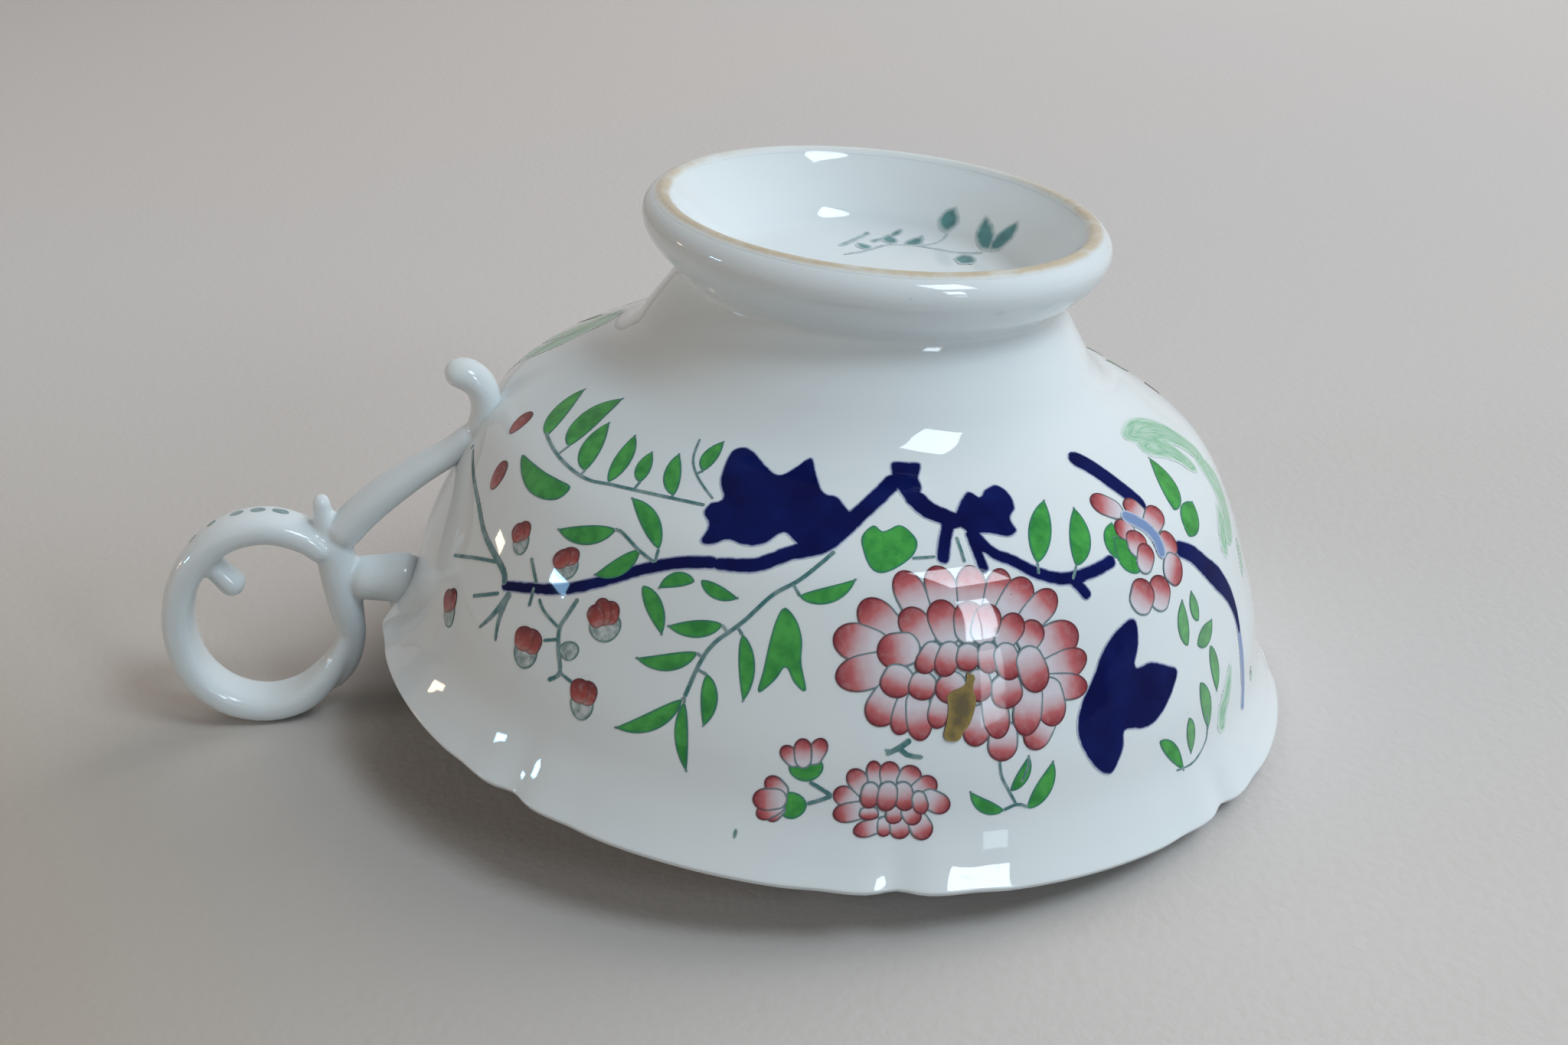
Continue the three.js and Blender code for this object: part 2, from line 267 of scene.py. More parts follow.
# Leaves: place of the base and of the tip, width, and how far the middle bows out
LEAVES = [
    (22.5, 31.6, 15.2, 37.5, 2.3, 0.5), (28.7, 32.3, 25.3, 39.7, 3, 0.8),
    (35.9, 31.2, 30.1, 36.7, 2.4, 0.4), (41.3, 31.3, 37.5, 37, 1.9, -0.3),
    (46.1, 32.7, 43.5, 36.2, 1.6, 0.2), (52.7, 32.7, 48.3, 37.2, 1.7, 0.3),
    (54.6, 36.3, 54.1, 40.4, 1.6, 0.3), (47.5, 27.4, 38.4, 25, 1.9, 0.5),
    (55, 27.2, 47, 30.8, 1.8, -0.6), (52.3, 26.5, 47.2, 22.8, 1.7, 0.5),
    (54.6, 23.5, 59, 19.9, 1.7, 0.4), (61.4, 25.3, 56.9, 23.8, 1.4, -0.5),
    (62.3, 25.6, 67.6, 24.8, 1.3, -0.3), (66.4, 22.2, 59.6, 20.8, 1.6, 0.3),
    (64, 19.2, 56.6, 17.1, 1.6, 0.6), (63.4, 14.7, 56.1, 10.3, 1.7, 0.7),
    (65.8, 17.5, 66.6, 12.9, 1.6, 0.4), (63.8, 14.5, 65.5, 8.4, 1.3, -0.3),
    (75.5, 26, 82.5, 28.1, 1.5, -0.6), (69.2, 21.7, 70.7, 15.9, 1.5, 0.4),
    (109, 29.5, 115.5, 35.8, 2.3, 0.3), (115.1, 28.6, 120.3, 34.3, 2.3, -0.3),
    (102, 7.1, 97.9, 9.1, 1.3, 0.5), (102.8, 8.9, 105, 12, 1.3, -0.4),
    (105, 7, 108.2, 11.1, 1.8, -0.5), (122.4, 28.3, 125.5, 31.7, 2.1, 0.2),
    (125.9, 26.3, 124.1, 30.3, 3.1, 0), (140.7, 30, 147.8, 35.4, 2.7, -0.6),
    (140.3, 27.1, 147, 29.3, 3, 0.2), (124.8, 9.9, 129.1, 5.8, 1.6, 0.4),
]
SIDE_LEAVES = [
    (132.8, 17.6, 133.5, 22, 1.9, 0.4), (136.4, 19.2, 136.2, 22.3, 1.6, 0.2),
    (135.1, 17.1, 140.1, 18.3, 2, -0.3), (138.3, 16.1, 138.1, 11.4, 1.8, 0.2),
    (134.2, 13.4, 135.3, 8.3, 2, 0.3), (130.9, 10.7, 131, 7, 1.5, 0.2),
]
# The print runs on past a leaf's tip by a share of its last rows, and tapers off there
TIP_REACH = 0.2
TIP_WIDTHS = (0.35, 0.1)
# A stalk joins a leaf to the next stem where the gap is between these, in millimetres
STALK_LEAST = 0.2
STALK_REACH = 1.6
STALK_WIDTHS = (0.22, 0.3)

# Petals, from the outermost row of a flower to its inmost: place of the root and of the outer
# end, and width
PEONY_ROWS = [
    [
        (90.8, 25.9, 88.5, 29.2, 2.7), (94.5, 26.3, 93.4, 29.8, 2.8), (98.2, 25.9, 98.5, 29.8, 2.8),
        (101.2, 25.7, 103.2, 29.3, 2.5), (103.2, 25.4, 106.8, 28.1, 2.8),
        (106.3, 24.5, 110.5, 26.6, 2.6), (107, 21.5, 113.1, 22.8, 3.5),
        (108.2, 19.4, 114, 20.3, 2.8), (108.6, 18.1, 113.7, 17.4, 2.4),
        (87.7, 23.3, 83.6, 26.3, 3.1), (85.4, 22.2, 80.4, 23, 3.2), (86.5, 20.4, 81.2, 19.1, 3.1),
    ],
    [
        (101.8, 14.4, 101.5, 11.8, 2.8), (107.1, 14.9, 105, 12.7, 2.7), (87.8, 18, 86, 15.3, 2.9),
        (89.8, 17.3, 89, 14.5, 2), (91.2, 17.3, 91.8, 14, 2.3), (94, 17.5, 93.4, 15.1, 2),
        (98.9, 16, 97.9, 13.4, 2.5), (108, 17.6, 108.6, 14.4, 2.9), (105.3, 17.5, 104.5, 13.9, 2.8),
        (100.6, 17.3, 101.3, 13.9, 2.5),
    ],
    [
        (92.4, 22.9, 88.9, 25.7, 2.6), (95.2, 23, 93.3, 26.6, 2.7), (104.8, 22, 107.4, 24.1, 2.4),
        (101.6, 22.5, 104.8, 24.9, 2.4), (97.5, 23, 97.7, 26.5, 2.8), (99, 22.9, 100.9, 26.1, 2.6),
        (90.7, 22.4, 85.9, 21.7, 3),
    ],
    [
        (89.1, 20.5, 87.8, 17.9, 2.7), (92, 20, 91.2, 17.7, 2.4), (96.1, 19.8, 94, 17.6, 2.6),
        (98.4, 20.1, 99.1, 17.4, 2.4), (102, 19.5, 102.7, 16.6, 2.9),
    ],
    [
        (93.1, 22.6, 91.3, 20.1, 1.9), (95.2, 22.6, 94, 19.8, 2.1), (97.4, 22.5, 97.1, 20.2, 2.1),
        (99.8, 22.5, 100.2, 19.9, 2), (101.9, 22.2, 103.3, 19.2, 2.4),
        (105.1, 21.6, 106.9, 17.8, 2.8),
    ],
]
ASTER_ROWS = [
    [
        (84.5, 8.2, 82.4, 9.1, 1.8), (85.7, 9.4, 83.9, 11.1, 1.8), (86.8, 10.2, 86.4, 12.1, 1.4),
        (88.5, 10.2, 88.2, 12.1, 1.8), (90.3, 10.1, 91.3, 11.7, 2), (91.7, 9.2, 93.7, 10.5, 2),
        (93, 8.7, 95.5, 7.6, 1.9), (85.4, 7.4, 82.5, 6.7, 1.8),
    ],
    [
        (87.6, 6.1, 84.9, 5.3, 1.5), (88.2, 6.4, 88.3, 5, 1.3), (89.8, 6.5, 90.3, 4.8, 1.8),
        (91.9, 6.6, 93.1, 4.9, 2),
    ],
    [(86.4, 7.7, 86.5, 6.5, 1.7), (89.2, 7.8, 89.3, 6.2, 1.5), (90.5, 7.8, 92, 6.3, 1.6)],
    [
        (86.4, 9.9, 86.3, 7.6, 1.6), (89.8, 10, 90.7, 7.5, 1.8), (88.4, 10, 88.2, 7.4, 1.8),
        (91.7, 9.2, 92.5, 7.2, 1.4),
    ],
]
SIDE_FLOWER_ROWS = [
    [
        (128.9, 32.4, 124.8, 34.8, 2.6), (132.8, 31.1, 131.5, 33.4, 2.2),
        (132, 29.7, 137.3, 31.1, 2.3), (132.2, 27, 136.2, 28.1, 2.6),
        (131.9, 26.1, 135.1, 24.2, 3), (127.8, 22.5, 130.3, 25.2, 3),
        (123.9, 23, 126.9, 25.4, 3.1),
    ],
    [
        (128.2, 29.8, 125.6, 31.4, 2.3), (126.8, 27.8, 128.8, 30.2, 2.5),
        (126.7, 26.4, 129.7, 28.5, 2.2),
    ],
]
LOW_BUD_ROWS = [
    [
        (77.8, 11.2, 76, 12.5, 1.4), (79.6, 11.6, 80.6, 13.7, 1.5), (78.6, 11.2, 78.2, 13.5, 1.6),
        (76.8, 8.2, 74.7, 9.4, 1.6), (76.8, 6.9, 75.5, 5.5, 1.2), (76.6, 7.1, 74.2, 5.7, 1.5),
        (76.7, 7.7, 73.5, 7.1, 2),
    ],
]
# Flowers: name, rows of petals, and how far the petals of the outer rows reach back behind their
# roots, as a share of their length
FLOWERS = [
    ("peony", PEONY_ROWS, 0.45), ("aster", ASTER_ROWS, 0.4),
    ("side_flower", SIDE_FLOWER_ROWS, 0.1), ("low_bud", LOW_BUD_ROWS, 0.2),
]
OUTER_ROWS = 2
# The most that the petals of the other rows reach back
INNER_REACH = 0.12

# Buds: place of the cup's foot and of the tip, width and how many red lobes show
BUDS = [
    (33.8, 20.9, 30.8, 23.8, 2.6, 2), (43.4, 21.3, 40.8, 24, 3.1, 2),
    (52.1, 17.5, 49.4, 21.1, 3.9, 3), (41, 11.5, 40.2, 15.8, 3.5, 2),
    (51.2, 9.6, 50.6, 13.8, 2.9, 2), (24.4, 9.5, 21.6, 13.2, 2.8, 2),
]
# How much of a bud its cup covers, and the cup's width as a share of the bud's
CUP_SHARE = 0.66
CUP_WIDTH = 0.9
# The red lobes of a bud: where they start along it, how far their roots and tips spread, how much
# lower the outer tips lie, and the width of one as a share of what it would have side by side
LOBE_START = 0.36
LOBE_ROOT_SPREAD = 0.4
LOBE_TIP_SPREAD = 0.85
LOBE_DROP = 0.35
LOBE_WIDTH = 1.35
# Buds with no cup, a cup with no bud, and the cups of the small flowers low down
FAR_BUDS = [(14.9, 28.8, 13.1, 31.8, 2), (20.4, 23.7, 19.8, 26.9, 2.2)]
BARE_CUP = (47.6, 14.4, 46.7, 16.1, 2.3)
GREEN_CUPS = [(79.3, 9.6, 78.7, 11.9, 3.1), (79.5, 7.5, 76.4, 6.9, 2.5)]

# A loose sprig of a plain kind, printed in the recess of the foot
SPRIG_STEMS = [
    (0.5, [(290, 82.5), (268, 81.2), (252, 78), (238, 76.4), (222, 75.5), (209, 73.5)]),
    (0.4, [(236, 76), (231, 74), (230, 72.6)]),
    (0.9, [(262, 77.6), (255, 75.6), (249, 73.4)]),
    (0.8, [(284, 79.6), (272, 77.4), (263, 74.6)]),
]
SPRIG_LEAVES = [
    (230, 72.6, 231.6, 69.2, 2.6, 0.4), (207.4, 73, 219.4, 69.2, 2.4, 0.4),
    (207.4, 73, 206, 68.4, 2.6, -0.4), (216, 75.2, 205, 77.6, 2.6, 0.5),
    (250, 77.4, 253.5, 74.4, 2, 0.3), (244, 77, 240, 73.6, 2, -0.3),
    (262, 80.4, 270, 78.2, 1.8, 0.3),
]

# Teal dots by the rim and the twigs: turn, height and size
DOTS = [(72.2, 3.8, 0.9), (5.2, 23.6, 0.6), (152.4, 8.3, 0.6)]
DOT_HALF = 0.2

# Teal dashes on the ring's outer side, as millimetres along it where they start and end
RING_DASHES = [(5.9, 7.4), (7.9, 9.3), (9.9, 11.2), (12.6, 13.6), (15, 16)]
DASH_ACROSS = -0.5
DASH_WIDTH = 1.1
# How far the ring's outer side stands off its route, about half its thickness
RING_HALF = 1.6

# Millimetres up the wall between which the gilding lies
FOOT_GILDING = (62.5, 64.6)

# How far each layer of paint stands off the glaze
GILDING_LIFT = 0.014
PALE_LIFT = 0.030
DASH_LIFT = 0.030
COBALT_LIFT = 0.036
GREEN_LIFT = 0.046
STEM_LIFT = 0.050
PETAL_LIFT = 0.058
BAND_LIFT = PETAL_LIFT + 0.045
DROP_LIFT = PETAL_LIFT + 0.16
# How much higher a stroke, lobe, petal or row of petals lies than the one before it, and a filled
# shape than the strokes under it, so that no two share a plane
STROKE_RISE = 0.001
SHAPE_RISE = 0.005
LOBE_RISE = 0.006
PETAL_RISE = 0.0023
ROW_RISE = 0.03
# Where the skirts round all shapes end, just under the glaze
SKIRT_DROP = -0.02

# Steps of a smooth curve between two of its points: of the wall, a stroke, an outline, and a stem
# that a leaf looks for
WALL_STEPS = 60
STROKE_STEPS = 16
OUTLINE_STEPS = 8
NEAR_STEPS = 12
# Strokes: the grain of their rows and columns, the rows of a round end, the least gap between two
# rows, and the narrowest row as a share of the width
STROKE_GRAIN = 0.5
CAP_ROWS = 5
CLOSEST_ROWS = 1e-4
CAP_END_LEAST = 0.01
# Leaves and petals: rows, columns as shares of the half width, and the narrowest row
BLADE_ROWS = 22
BLADE_SIDES = (-1, -0.86, -0.6, -0.3, 0, 0.3, 0.6, 0.86, 1)
BLADE_LEAST = 0.015
# Free outlines: the grain of the outline and of the points inside it, the row just inside it, and
# how close to it the points of that row and the others may come
OUTLINE_GRAIN = 0.35
INNER_GRAIN = 0.7
INSET = 0.3
INSET_CLEAR = 0.28
INNER_CLEAR = 0.5
# The triangulation keeps what lies inside the outline, and merges points closer than this
CDT_INSIDE = 1
CDT_MERGE = 1e-6
HOOP_COLUMNS = 25
# How far along its shape a vertex counts as, where the shape has no direction
MIDWAY = 0.5
# Less than this is no length and no area
NO_LENGTH = 1e-14
NO_AREA = 1e-12

# Finish of the glaze
GLAZE_IOR = 1.5
COAT_ROUGHNESS = 0.035
# How much of the glossy coat lies over the blue
COBALT_COAT = 0.25
# Metres that the glaze's slow waves rise
RIPPLE_DEPTH = 0.00003
# Iron specks: cells in one metre, in each of which one may lie, and how it fades from its middle
SPECK_CELLS = 260
SPECK_FADES = (0.05, 0.025)
# Hairs of the brush in one millimetre
HAIRS = 5.0

# Clouds of soft noise: features in one metre, detail, the range that is taken from them, and
# where it isn't 0 to 1, the range that it is stretched to
RIPPLES = (120, 1.0)
SHEEN = (200, 3, 0.3, 0.7, 0.24, 0.36)
BODY_TINT = (45, 3, 0.35, 0.7, 0, 0.55)
SPECK_FIELDS = (90, 0, 0.66, 0.7, 0, 0.55)
COBALT_DEPTH = (260, 3, 0.35, 0.8)
GREEN_POOLS = (620, 3, 0.38, 0.68)
GREEN_WEAR = (1300, 2, 0.7, 0.85)
PRINT_BREAKS = (700, 2, 0.3, 0.6, 0.75, 1)
PETAL_WEAR = (1400, 2, 0.45, 0.8, 0, 0.12)
BUD_WEAR = (1400, 2, 0.5, 0.8, 0, 0.15)
CUP_HATCH = (1500, 3, 0.35, 0.65, 0.3, 0.85)
SPRIG_POOLS = (500, 2, 0.35, 0.7)
GILDING_WEAR = (330, 4, 0.3, 0.5, 0.35, 0.75)
GOLD_TONES = (900, 3, 0.3, 0.7)
CLOTH_TINT = (5, 2, 0.3, 0.7)
WEAVE = (900, 2)
# What makes a value wander: detail and the range that is taken
WANDERING = (2.0, 0.25, 0.75)

# Edges: features in one metre and reach in millimetres of the noise on them, then as for the
# clouds, with the range in millimetres inside the outline
COBALT_WATERY = (1300, 0.08, -0.06, 0.10, 0.25, 1)
COBALT_FULL = (1300, 0.05, 0.06, 0.22)
WASH_EDGE = (500, 0.12, 0.0, 0.6, 0.1, 0.95)
BAND_EDGE = (900, 0.08, 0.0, 0.3, 0.35, 0.95)
LEAF_LINE = (1600, 0.04, 0.26, 0.04)
PRINT_EDGE = (1800, 0.03, -0.06, 0.06)
PETAL_LINE = (1600, 0.03, 0.24, 0.09, 0, 0.85)
BUD_LINE = (1600, 0.04, 0.22, 0.02, 0, 0.6)
CUP_LINE = (1600, 0.06, 0.24, 0.06, 0, 0.75)
SPRIG_EDGE = (900, 0.15, -0.05, 0.55, 0.1, 0.9)
GILDING_EDGE = (500, 0.1, 0.0, 0.6)
DROP_DEPTH = (1300, 0.35, 0.1, 0.8)
DROP_EDGE = (1500, 0.05, -0.12, 0.04, 0.4, 0.97)

# Along a petal or bud: the noise on it, and where its colours and its ink change
PETAL_ALONG = (900, 0.035)
PETAL_STOPS = (0.05, 0.36, 0.62, 0.92)
INK_CHANGES = (0.45, 0.8)
BUD_ALONG = (1100, 0.1)
BUD_STOPS = (0.0, 0.3, 0.95)
# Other ranges: the hairs in the pale wash, the painted shade on the cloth and the threads on it
HAIRS_SHOWN = (0.35, 0.65, 0.55, 1)
PAINTED_SHADE_SHOWN = (0.0, 0.9)
THREADS_SHOWN = (0.3, 0.7, 0, 0.1)
# Shares: of blue at the watery edge, of wear and line on a full leaf, and of metal in the gilding
WATERY_SHARE = 0.55
LEAF_WEAR_MOST = 1.15
LEAF_LINE_MOST = 0.75
GILDING_METAL = 0.2
# The gilding is worn off towards -X between two places, in metres, down to a share of it
GILDING_FADES = (-0.02, -0.004, 0.12, 1)

# Tones beside the colours in the sidebar
SPECK = (0.2, 0.16, 0.12)
WATERY_BLUE = (0.05, 0.10, 0.42)
BAND_BLUE = (0.15, 0.25, 0.5)
WASH_STREAK = (0.16, 0.46, 0.25)
PETAL_MIDDLE = [(0.60, 0.42, 0.46), (0.50, 0.12, 0.13)]
ROOT_INK = (0.03, 0.13, 0.15)
TIP_INK = (0.08, 0.012, 0.025)
BUD_TONES = [(0.42, 0.22, 0.21), (0.36, 0.055, 0.045), (0.15, 0.008, 0.012)]
BUD_INK = (0.06, 0.012, 0.02)
CUP_GREY = (0.12, 0.20, 0.19)
SPRIG_DARK = (0.0, 0.13, 0.14)
SPRIG_LIGHT = (0.03, 0.24, 0.24)
GOLD_SHADE = (0.52, 0.39, 0.21)
DROP_THIN = (0.26, 0.18, 0.03)
DROP_THICK = (0.11, 0.078, 0.02)

# Sockets of the colour mixer
COLOUR_A, COLOUR_B, COLOUR_OUT = 6, 7, 2

# The table, in degrees and metres: its tilt, its size, and the gap that keeps it off the cup
TABLE_TILT = 6.77
TABLE_SIZE = 2.4
TABLE_GAP = 0.00003
# A round patch of painted warm shade darkens the cloth at its near left, towards the handle
PAINTED_SHADE_PLACE = (0.07, -0.12)
PAINTED_SHADE_REACH = (0.25, 0.15)
CLOTH_PAINTED_SHADE = (0.38, 0.31, 0.225)
CLOTH_COOL = (0.61, 0.6, 0.6)
CLOTH_THREAD = (0.5, 0.47, 0.44)
CLOTH_ROUGHNESS = 0.9
WEAVE_DEPTH = 0.0001

# The camera stands where the photograph was taken from, in the part's own frame
CAMERA_PLACE = (0.181254, -0.03196, 0.05859)
CAMERA_AIM = (-0.000905, -0.006467, -0.029633)
CAMERA_ROLL = 5.594
CAMERA_LENS = 42.19
CAMERA_NEAR = 0.01

# Lamps: name, direction round the axis from +X and above the level of the origin in degrees,
# distance and size in metres, power in watts and colour
LAMPS = [
    ("window_light", 112, 44, 2.2, (2.0, 1.7), 25.5, (1.0, 0.97, 0.96)),
    ("ceiling_light", 50, 70, 1.3, (0.8, 0.7), 1.9, (0.9, 0.96, 1.0)),
    ("far_light", 160, 34, 0.8, (0.55, 0.4), 1.2, (0.98, 0.98, 1.0)),
    ("warm_room", -80, 12, 1.5, (1.0, 0.7), 4.0, (1.0, 0.70, 0.43)),
    ("window_top_pane", 42, 55.5, 0.9, (0.26, 0.28), 2.7, (0.76, 0.9, 1.0)),
    ("window_left_pane", 29.6, 28.5, 0.9, (0.065, 0.19), 0.55, (0.76, 0.9, 1.0)),
    ("window_right_pane", 34.4, 28.5, 0.9, (0.065, 0.19), 0.55, (0.76, 0.9, 1.0)),
    ("window_low_pane", 32.5, 13, 0.9, (0.10, 0.14), 0.17, (0.76, 0.9, 1.0)),
    ("far_window", -86, 4.9, 0.532, (0.06, 0.028), 0.2, (0.35, 0.65, 1.0)),
    ("far_lamp", -111, -2.6, 0.527, (0.04, 0.02), 0.035, (1.0, 0.8, 0.6)),
]
LAMP_AIM = (0, 0, -0.02)
# Lamps with both sides shorter than this show in the glaze, and the broad ones do not
WIDEST_MIRRORED = 0.5
ROOM_COLOUR = (0.095, 0.086, 0.076, 1)
# Beyond the cloth the camera and the glaze see a pale wall
WALL_COLOUR = (0.48, 0.475, 0.465, 1)


def smooth_line(points, steps):
    """Even steps of a smooth curve through points, as rows of an array."""
    p = np.array(points, float)
    q = np.vstack([p[:1], p, p[-1:]])
    place = np.linspace(0, len(p) - 1, steps + 1)
    i = np.minimum(place.astype(int), len(p) - 2)
    t = (place - i)[:, None]
    a, b, c, d = q[i], q[i + 1], q[i + 2], q[i + 3]
    before, after = (c - a) / 2, (d - b) / 2
    cubic = (2 * b - 2 * c + before + after) * t**3
    return cubic + (3 * c - 3 * b - 2 * before - after) * t**2 + before * t + b


def running_length(steps):
    """The length so far at each point, from the steps between them."""
    return np.concatenate([[0], np.cumsum(np.hypot(steps[:, 0], steps[:, 1]))])


def both_at(lengths, run, line):
    """Both coordinates of a line at lengths along it, where run holds its points' own lengths."""
    return [np.interp(lengths, run, line[:, k]) for k in (0, 1)]


def eased(count):
    """Shares from 0 to 1 that lie closer together at both ends."""
    return 0.5 - 0.5 * np.cos(np.linspace(0, math.pi, count))


def dome(share, least=0.0):
    """The height of a round end at a share of the way over it, and never below the least."""
    return np.sqrt(np.clip(1 - (1 - np.clip(share, 0, 1)) ** 2, least, 1))


def unit(vectors):
    """Vectors made one long, with nothing left of those that have no direction."""
    size = np.linalg.norm(vectors, axis=-1, keepdims=True)
    return np.divide(vectors, size, out=np.zeros_like(vectors), where=size > NO_LENGTH)


def left_of(steps, scale=1.0):
    """Steps in millimetres turned a quarter to the left, in units of so many millimetres."""
    return np.stack([-steps[..., 1], steps[..., 0]], -1) / scale


def notch(turn, height, depth):
    """How far the rim's notches draw the wall in, at a turn and a height."""
    lobe = 360 / LOBES
    off = np.abs(turn - lobe * np.round(turn / lobe))
    beside = DIP_SHARE * depth * np.exp(-(((off - DIP_TURN) / DIP_WIDTH) ** 2))
    dip = depth * np.exp(-((off / NOTCH_WIDTH) ** 2)) + beside
    return dip * np.clip(1 - height / LOBE_HEIGHT, 0, 1) ** 2


def turned(turn, radius, height, notch_depth):
    """Points of the cup in metres, at turns, radii and heights of the same shape."""
    drawn = radius - notch(turn, height, notch_depth)
    angle = np.radians(turn)
    return MM * np.stack([drawn * np.sin(angle), -drawn * np.cos(angle), RIM_Z + height], -1)


def facet_turns():
    """The turn at which each facet of the bowl and the foot starts."""
    return np.arange(shape().facets) * 360 / shape().facets


def grid_normals(points):
    """Unit normals of a grid of points whose second direction runs round the axis."""
    round_axis = np.roll(points, -1, 1) - np.roll(points, 1, 1)
    return unit(np.cross(round_axis, np.gradient(points, axis=0)))


def grid_faces(first, second):
    """Quads between rows of vertex numbers and the rows that follow each of them."""
    corners = first[:, :-1], second[:, :-1], second[:, 1:], first[:, 1:]
    return np.stack([corner.ravel() for corner in corners], -1)


def ring_faces(first, second, count):
    """Quads between two rings of count vertices that start at the given numbers."""
    return [
        (first + j, first + (j + 1) % count, second + (j + 1) % count, second + j)
        for j in range(count)
    ]


def placed(name, data):
    """A new object in the scene that holds the data."""
    made = bpy.data.objects.new(name, data)
    bpy.context.scene.collection.objects.link(made)
    return made


def shade_smooth(mesh):
    """Lets a mesh show without its facets."""
    mesh.polygons.foreach_set("use_smooth", [True] * len(mesh.polygons))


def mesh_piece(name, points, faces, normals=None):
    """A new object from points in metres and faces, smooth, with its own normals if given."""
    mesh = bpy.data.meshes.new(name)
    mesh.from_pydata([tuple(p) for p in points], [], [tuple(f) for f in faces])
    shade_smooth(mesh)
    if normals is not None:
        mesh.normals_split_custom_set_from_vertices([tuple(n) for n in normals])
    return placed(name, mesh)


def body_grid():
    """The whole surface of bowl and foot as a grid, and the rows where the foot starts and ends."""
    inside = smooth_line(INSIDE + LIP + OUTSIDE[:1], ROWS_INSIDE * (len(INSIDE) + len(LIP)))
    wall_rows = ROWS_OUTSIDE * (len(OUTSIDE) - 1)
    wall = smooth_line(OVER, ROWS_OUTSIDE * (len(OVER) - 1))
    rest = smooth_line(OVER, ROWS_FOOT * (len(OVER) - 1))[ROWS_FOOT * (len(OUTSIDE) - 1) :]
    rows = np.vstack([inside[:-1], wall[:wall_rows], rest])
    foot_start = len(inside) - 1 + wall_rows
    foot_end = foot_start + ROWS_FOOT * len(FOOT)
    turn = facet_turns()
    radius, height = (np.repeat(rows[:, k : k + 1], len(turn), 1) for k in (0, 1))
    points = turned(np.broadcast_to(turn, radius.shape), radius, height, shape().notch_depth)
    return points, grid_normals(points), foot_start, foot_end


def turned_piece(name, points, normals, closed):
    """A piece from a grid of rings, which closes on itself or shrinks to a point at both ends."""
    count = points.shape[1]
    poles = () if closed else (0, len(points) - 1)
    vertices, vertex_normals, starts, faces = [], [], [], []
    for i, row in enumerate(points):
        starts.append(len(vertices))
        if i in poles:
            vertices.append(row.mean(0))
            vertex_normals.append((0, 0, 1 if i else -1))
        else:
            vertices.extend(row)
            vertex_normals.extend(normals[i])
    order = list(range(len(points))) + ([0] if closed else [])
    for i, k in zip(order, order[1:]):
        here, there = starts[i], starts[k]
        if i in poles:
            faces += [(here, there + (j + 1) % count, there + j) for j in range(count)]
        elif k in poles:
            faces += [(here + j, here + (j + 1) % count, there) for j in range(count)]
        else:
            faces += ring_faces(here, there, count)
    return mesh_piece(name, vertices, faces, vertex_normals)


def limb_grid(route, thickness, width, squareness=2.0):
    """Rings of points round a limb of the handle, in millimetres, with domed ends.

    The width is a share of the thickness. A squareness above 2 flattens the limb's sides.
    """
    fine = smooth_line(route, LIMB_STEPS)
    run = running_length(np.diff(fine, axis=0))
    even = eased(LIMB_ROWS)
    line = np.stack(both_at(even * run[-1], run, fine), -1)
    sizes = smooth_line([(0, t) for t in thickness], SIZE_STEPS)[:, 1] / 2
    half = np.interp(even, np.linspace(0, 1, SIZE_STEPS + 1), sizes)
    to_end = np.minimum(even * run[-1] / sizes[0], (1 - even) * run[-1] / sizes[-1])
    half = half * dome(to_end, LIMB_END_LEAST)
    along = unit(np.gradient(line, axis=0))
    angle = np.arange(LIMB_SIDES) * 2 * math.pi / LIMB_SIDES
    power = 2 / squareness
    wide = np.sign(np.cos(angle)) * np.abs(np.cos(angle)) ** power * width
    deep = np.sign(np.sin(angle)) * np.abs(np.sin(angle)) ** power
    x = half[:, None] * wide
    out = line[:, :1] - half[:, None] * deep * along[:, 1:]
    up = line[:, 1:] + half[:, None] * deep * along[:, :1]
    return np.stack([x, -out, RIM_Z + up], -1)


def handle_mesh(limbs, voxel, rounds):
    """One closed skin over all the limbs, with soft fillets where they join, in metres."""
    points, faces = [], []
    for limb in limbs:
        start = len(points)
        points.extend(limb_grid(**limb).reshape(-1, 3))
        for i in range(LIMB_ROWS - 1):
            first = start + i * LIMB_SIDES
            faces += ring_faces(first, first + LIMB_SIDES, LIMB_SIDES)
        faces.append(tuple(start + j for j in reversed(range(LIMB_SIDES))))
        faces.append(tuple(start + (LIMB_ROWS - 1) * LIMB_SIDES + j for j in range(LIMB_SIDES)))
    rough = mesh_piece("rough_handle", points, faces)
    skin = rough.modifiers.new("skin", "REMESH")
    skin.mode = "VOXEL"
    skin.voxel_size = voxel
    soft = rough.modifiers.new("fillets", "SMOOTH")
    soft.factor = FILLET_STRENGTH
    soft.iterations = rounds
    depsgraph = bpy.context.evaluated_depsgraph_get()
    mesh = bpy.data.meshes.new_from_object(rough.evaluated_get(depsgraph))
    mesh.transform(Matrix.Scale(MM, 4))
    shade_smooth(mesh)
    old = rough.data
    bpy.data.objects.remove(rough)
    bpy.data.meshes.remove(old)
    return mesh


